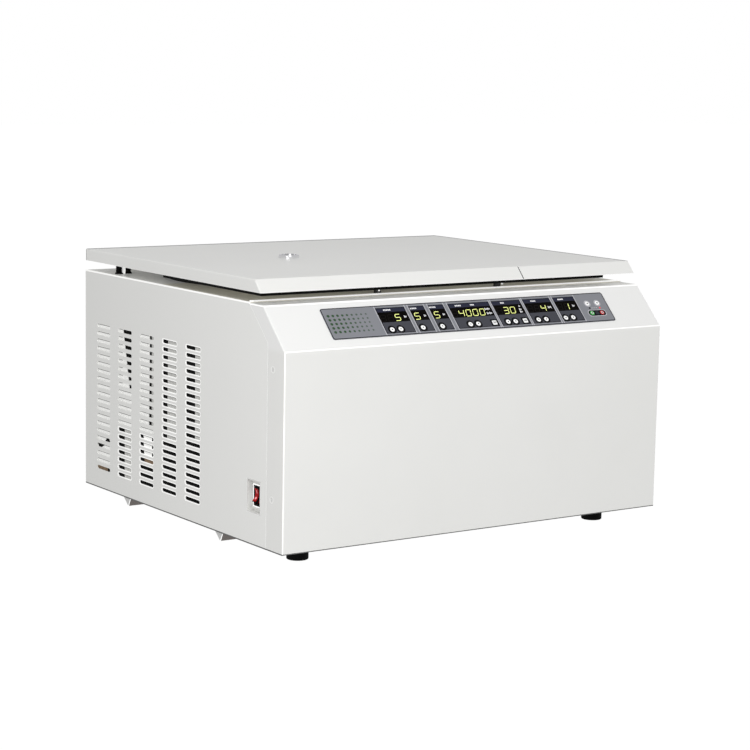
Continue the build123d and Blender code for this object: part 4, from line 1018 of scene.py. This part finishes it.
def add_vent_backing(finish):
    """Pale baffle sheets, grey felt and brown board that show through the left vents, over a black sheet of
    painted shade, with lines and small black patches of painted shade.
    """
    shade_patches = [
        [vent_point(0, 0.56, 16.4), vent_point(0, 1.08, 16.35), vent_point(0, 0.84, 15.5)],
        [vent_point(0, 0.0, 16.55), vent_point(0, 0.60, 16.8), vent_point(0, 0.20, 17.45)],
    ]
    lines = [
        [vent_point(column, share, place) for share, place in bar(left, right, row - 0.275, row - 0.145)]
        for column, first_row, last_row, left, right in VENT_SHADOW_LINES for row in range(first_row, last_row + 1)
    ]
    low = vent_point(0, 0, VENT_ROWS + 0.9)[1]
    high = vent_point(0, 0, 0)[1]
    front_end = vent_point(VENT_COLUMNS - 1, 1.6, 1)[0]
    rear_end = vent_point(0, -0.6, 1)[0]
    shade_sheet = bar(front_end, rear_end, low, high)
    on_backing = (BACKING[0] - 0.05 * mm, BACKING[0])
    for (name, patches), coat in zip(VENT_SHEETS.items(), ("baffle", "felt", "brown_board")):
        sheets = [vent_patch(*patch) for patch in patches]
        add_uprights("vent_" + name, sheets, BACKING, finish[coat])
    add_uprights("vent_shade_sheet", [shade_sheet], SHADE_SHEET_DEPTH, finish["painted_shade_black"])
    add_uprights("vent_shadow_lines", lines, on_backing, finish["vent_shade"])
    add_uprights("vent_shade_patches", shade_patches, on_backing, finish["painted_shade_black"])


# ---- trims
def add_box_piece(name, boxes, material, body):
    """One piece made of plain rectangular bars, each given by two opposite corners."""
    prisms = [
        [[(x, y, z) for x, y in bar(x0, x1, y0, y1)] for z in (z0, z1)]
        for (x0, y0, z0), (x1, y1, z1) in boxes
    ]
    return add_prisms(name, prisms, material, body)


SEAL_DROP = 4.2 * mm
SEAL_W = 5 * mm
SEAL_INSET = 4 * mm
SEAL_REAR = 48 * mm
SEAL_RIGHT = 256 * mm  # right end of the front strip
SEAL_RIGHT_FRONT = -160 * mm  # front end of the right strip


def add_lid_seal(finish):
    """Black rubber strip under the front edge of the lid and along the front of its sides. The strip also
    stands in for the shade under the lid's edge, so it is partly painted shade.
    """
    low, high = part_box("lid_shell")
    left = low.x + SEAL_INSET
    front = low.y + 5 * mm
    bars = [((left, front, low.z - SEAL_DROP), (SEAL_RIGHT, front + SEAL_W, low.z))]
    for x, start in ((left, front + SEAL_W), (high.x - SEAL_INSET - SEAL_W, SEAL_RIGHT_FRONT)):
        bars.append(((x, start, low.z - SEAL_DROP), (x + SEAL_W, SEAL_REAR, low.z)))
    add_box_piece("lid_seal", bars, finish["rubber"], "lid")


LID_SEAM = (109.7 * mm, 111.1 * mm)  # along X, beside the seam across the bevel
LID_BEVEL = 14.5 * mm
LINE_RISE = 0.06 * mm
OUTLINE_SHADE_RISE = 0.08 * mm
OUTLINE_SHADE_W = 9 * mm
OUTLINE_SHADE_GAP = 0.4 * mm


def add_lid_lines(finish):
    """A dark line beside the seam of the bevel, and grey bands of painted shade along the rear and right
    edges of the lid.
    """
    low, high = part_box("lid_shell")
    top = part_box("lid_liner")[1].z + 1.5 * mm
    slant = Vector((0, LID_BEVEL, top - low.z))
    out = Vector((0, low.z - top, LID_BEVEL)).normalized() * LINE_RISE
    corners = [
        Vector((x, low.y, low.z)) + share * slant
        for x, share in zip((*LID_SEAM, *reversed(LID_SEAM)), (0.04, 0.04, 0.97, 0.97))
    ]
    line = (corners, [corner + out for corner in corners])
    add_prisms("lid_seam_line", [line], finish["seam_dark"], "lid")
    lid_top = top + OUTLINE_SHADE_RISE
    rear = (low.x + mm, high.y - OUTLINE_SHADE_W, top), (high.x - mm, high.y - OUTLINE_SHADE_GAP, lid_top)
    side = (high.x - 5.5 * mm, low.y + LID_BEVEL + mm, top), (high.x - OUTLINE_SHADE_GAP, high.y - OUTLINE_SHADE_W, lid_top)
    add_box_piece("lid_outline_shades", [rear, side], finish["outline_shade_grey"], "lid")


def add_deck_trim(finish):
    """Raised bright strip along the front edge of the deck, which glows as a painted highlight."""
    low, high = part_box("deck_plate")
    start = (low.x + mm, DECK_FRONT - 1 * mm, SIDE_TOP)
    end = (high.x - mm, DECK_FRONT + 3 * mm, SIDE_TOP + 1.5 * mm)
    add_box_piece("deck_bead", [(start, end)], finish["glowing_highlight"], "cabinet")


RAIL_APEXES = (0.1405, -0.115)
RAIL_PROFILE = ((-7.5, 1.5), (-1.0, -11.0), (1.0, -11.0), (16.0, 1.5))  # from the apex and the skirt, in mm


def add_rail_caps(finish):
    """Pale end caps on the V rails, each with a glowing front edge as a painted highlight."""
    caps = []
    edges = []
    for apex in RAIL_APEXES:
        cap = [(apex + y * mm, SKIRT + z * mm) for y, z in RAIL_PROFILE]
        caps.append(cap)
        edges.append([cap[0], cap[1], (cap[1][0] + 1.4 * mm, cap[1][1]), (cap[0][0] + 1.4 * mm, cap[0][1])])
    near, middle, far = (SKIN_X + inset * mm for inset in (0.9, 1.1, 1.5))
    add_uprights("rail_caps", caps, (middle, far), finish["cap_paint"])
    add_uprights("rail_cap_highlights", edges, (near, middle), finish["glowing_highlight"])


POST_X = (280.3 * mm, 294.5 * mm)
POST_Y = 197 * mm
SLEEVE_R = 4.6 * mm
SLEEVE_RIBS = 5


SLEEVE_BORE = 3.1 * mm
SLEEVE_LIP = 1.2 * mm
SLEEVE_STEPS = 24


def add_post_sleeves(finish):
    """Black ribbed sleeves on the four posts that the lid rests on, and a pale guide between each two,
    which glows as a painted highlight.
    """
    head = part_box("lid_shell")[0].z - 0.6 * mm
    foot = SIDE_TOP + 0.1 * mm
    body = SIDE_TOP + SLEEVE_LIP
    lip_r = SLEEVE_R + SLEEVE_LIP
    groove_r = SLEEVE_R - 0.8 * mm
    pitch = (head - body) / SLEEVE_RIBS
    profile = [(SLEEVE_BORE, foot), (lip_r, foot), (lip_r, body)]
    for rib in range(SLEEVE_RIBS):
        for radius, share in ((groove_r, 0.1), (SLEEVE_R, 0.4), (SLEEVE_R, 0.8), (groove_r, 1)):
            profile.append((radius, body + (rib + share) * pitch))
    profile.append((SLEEVE_BORE, head))
    verts = []
    faces = []
    count = len(profile)
    for x in [side * place for side in (-1, 1) for place in POST_X]:
        first = len(verts)
        for step in range(SLEEVE_STEPS):
            turn = 2 * pi * step / SLEEVE_STEPS
            verts += [(x + radius * cos(turn), POST_Y + radius * sin(turn), z) for radius, z in profile]
            here = first + step * count
            there = first + (step + 1) % SLEEVE_STEPS * count
            for index in range(count):
                after = (index + 1) % count
                faces.append((here + index, there + index, there + after, here + after))
    new_piece("post_sleeves", verts, faces, finish["rubber"], "cabinet")
    # the guides glow as a painted highlight
    half = 2 * mm
    guides = []
    for side in (-1, 1):
        x = side * sum(POST_X) / 2
        guides.append(((x - half, POST_Y - half, SIDE_TOP), (x + half, POST_Y + half, head - 0.4 * mm)))
    add_box_piece("post_guides", guides, finish["glowing_highlight"], "cabinet")


ROCKER_TILT = radians(10)
ROCKER_CAP_W = 7.6 * mm
ROCKER_CAP_H = 8.2 * mm
ROCKER_RIM = 1.1 * mm
ROCKER_CAP_END = 11.4 * mm  # from the pivot to the raised ends
ROCKER_CAP_MIDDLE = 8.0 * mm
ROCKER_PIVOT = Vector((-0.297, -0.199, 0.0866))


ROCKER_BACK = -5.2 * mm
ROCKER_STEPS = 12


def rocker_point(out, side, up):
    """A point of the tilted rocker: out from its pivot, sideways, and up along its face."""
    x = out * cos(ROCKER_TILT) + up * sin(ROCKER_TILT)
    return ROCKER_PIVOT + Vector((x, side, up * cos(ROCKER_TILT) - out * sin(ROCKER_TILT)))


def rocker_reach(rise):
    """How far the hollow face of the cap stands out, at a rise of -1 to 1 along it."""
    return ROCKER_CAP_MIDDLE + (ROCKER_CAP_END - ROCKER_CAP_MIDDLE) * rise * rise


def add_rocker_cap(finish):
    """Red cap with a hollow face over the rocker of the power switch, in a black frame."""
    for name, rim, slot in (("frame", ROCKER_RIM, "black_plastic"), ("cap", 0, "rocker_red")):
        half_w = ROCKER_CAP_W / 2 + rim
        half_h = ROCKER_CAP_H + rim
        rises = [-1 + 2 * step / ROCKER_STEPS for step in range(ROCKER_STEPS + 1)]
        face = [(rim / 4 - rocker_reach(rise), half_h * rise) for rise in rises]
        profile = [(ROCKER_BACK, -half_h), *face, (ROCKER_BACK, half_h)]
        prism = [[rocker_point(out, side, up) for out, up in profile] for side in (-half_w, half_w)]
        add_prisms("rocker_" + name, [prism], finish[slot], "power_rocker", flip=True)


def add_rocker_marks():
    """A pale bar and ring on the two halves of the rocker cap: printed marks with a faint glow of painted
    highlight.
    """
    bar = [(-0.5, 1.8), (0.5, 1.8), (0.5, -1.8), (-0.5, -1.8)]
    prisms = []
    for shape, rise in ((bar, 0.5), (disc(0, 0, 1.7, 12), -0.5)):
        lean = 2 * (ROCKER_CAP_END - ROCKER_CAP_MIDDLE) * rise / ROCKER_CAP_H
        prisms.append([
            [
                rocker_point(
                    -rocker_reach(rise) - lean * up * mm - lift, side * mm, rise * ROCKER_CAP_H + up * mm,
                )
                for side, up in shape
            ]
            for lift in (0, 0.25 * mm)
        ])
    # the faint glow is a painted highlight
    pale = printed("rocker_mark", (0.95, 0.36, 0.38), glow=0.3)
    add_prisms("rocker_marks", prisms, pale, "power_rocker", flip=True)


SWITCH_RIM = 1.3 * mm


RIM_GAP = 0.05 * mm


def add_switch_rim(finish):
    """White rim of the cut-out round the black body of the power switch, which glows as a painted
    highlight.
    """
    low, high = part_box("power_switch_body")
    near, far = low.x - 0.2 * mm, low.x + 0.8 * mm
    front, rear = low.y - RIM_GAP, high.y + RIM_GAP
    below, above = low.z - RIM_GAP, high.z + RIM_GAP
    bottom, top = low.z - SWITCH_RIM, high.z + SWITCH_RIM
    bars = [
        ((near, low.y - SWITCH_RIM, bottom), (far, front, top)),
        ((near, rear, bottom), (far, high.y + SWITCH_RIM, top)),
        ((near, front, bottom), (far, rear, below)),
        ((near, front, above), (far, rear, top)),
    ]
    add_box_piece("switch_rim", bars, finish["glowing_highlight"], "cabinet")


STRIKER_GLINT_INSET = 9 * mm
STRIKER_GLINT_HALF_W = 1.3 * mm
STRIKER_GLINT_RISE = (38.2 * mm, 40.4 * mm)  # above the lower end of a striker


def add_striker_glints(finish):
    """A glowing dot on the front of each lid striker, a painted highlight."""
    low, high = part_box("lid_strikers")
    bottom, top = (low.z + rise for rise in STRIKER_GLINT_RISE)
    near, far = low.y - 0.3 * mm, low.y + 0.2 * mm
    glints = [
        ((x - STRIKER_GLINT_HALF_W, near, bottom), (x + STRIKER_GLINT_HALF_W, far, top))
        for x in (low.x + STRIKER_GLINT_INSET, high.x - STRIKER_GLINT_INSET)
    ]
    add_box_piece("striker_glints", glints, finish["glowing_highlight"], "lid")


SCREW_PLACES = ((-0.2425, 0.090), (-0.2425, 0.256))  # along Y and up, on the left side
SCREW_SLOT = (0.7 * mm, 2.1 * mm)  # half its width and half its height


def add_screw_marks(finish):
    """Dark upright slots, painted shade of a cross recess, that turn the slotted heads of the left side
    screws into crosses.
    """
    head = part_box("panel_screws")[0].x
    half_w, half_h = SCREW_SLOT
    slots = [bar(y - half_w, y + half_w, z - half_h, z + half_h) for y, z in SCREW_PLACES]
    depth = (head - 0.06 * mm, head + 0.1 * mm)
    add_uprights("screw_slots", slots, depth, finish["cap_paint"])


finish = finishes()
add_camera()
add_studio()
dress_cad_pieces(finish)
for add_part in (
    add_film_outline, add_dots, add_blocks, add_readouts, add_key_marks, add_run_field, add_rocker_marks,
):
    add_part()
for add_part in (
    add_vent_backing, add_lid_seal, add_lid_lines, add_deck_trim, add_post_sleeves, add_rocker_cap,
    add_switch_rim, add_striker_glints, add_rail_caps, add_screw_marks,
):
    add_part(finish)
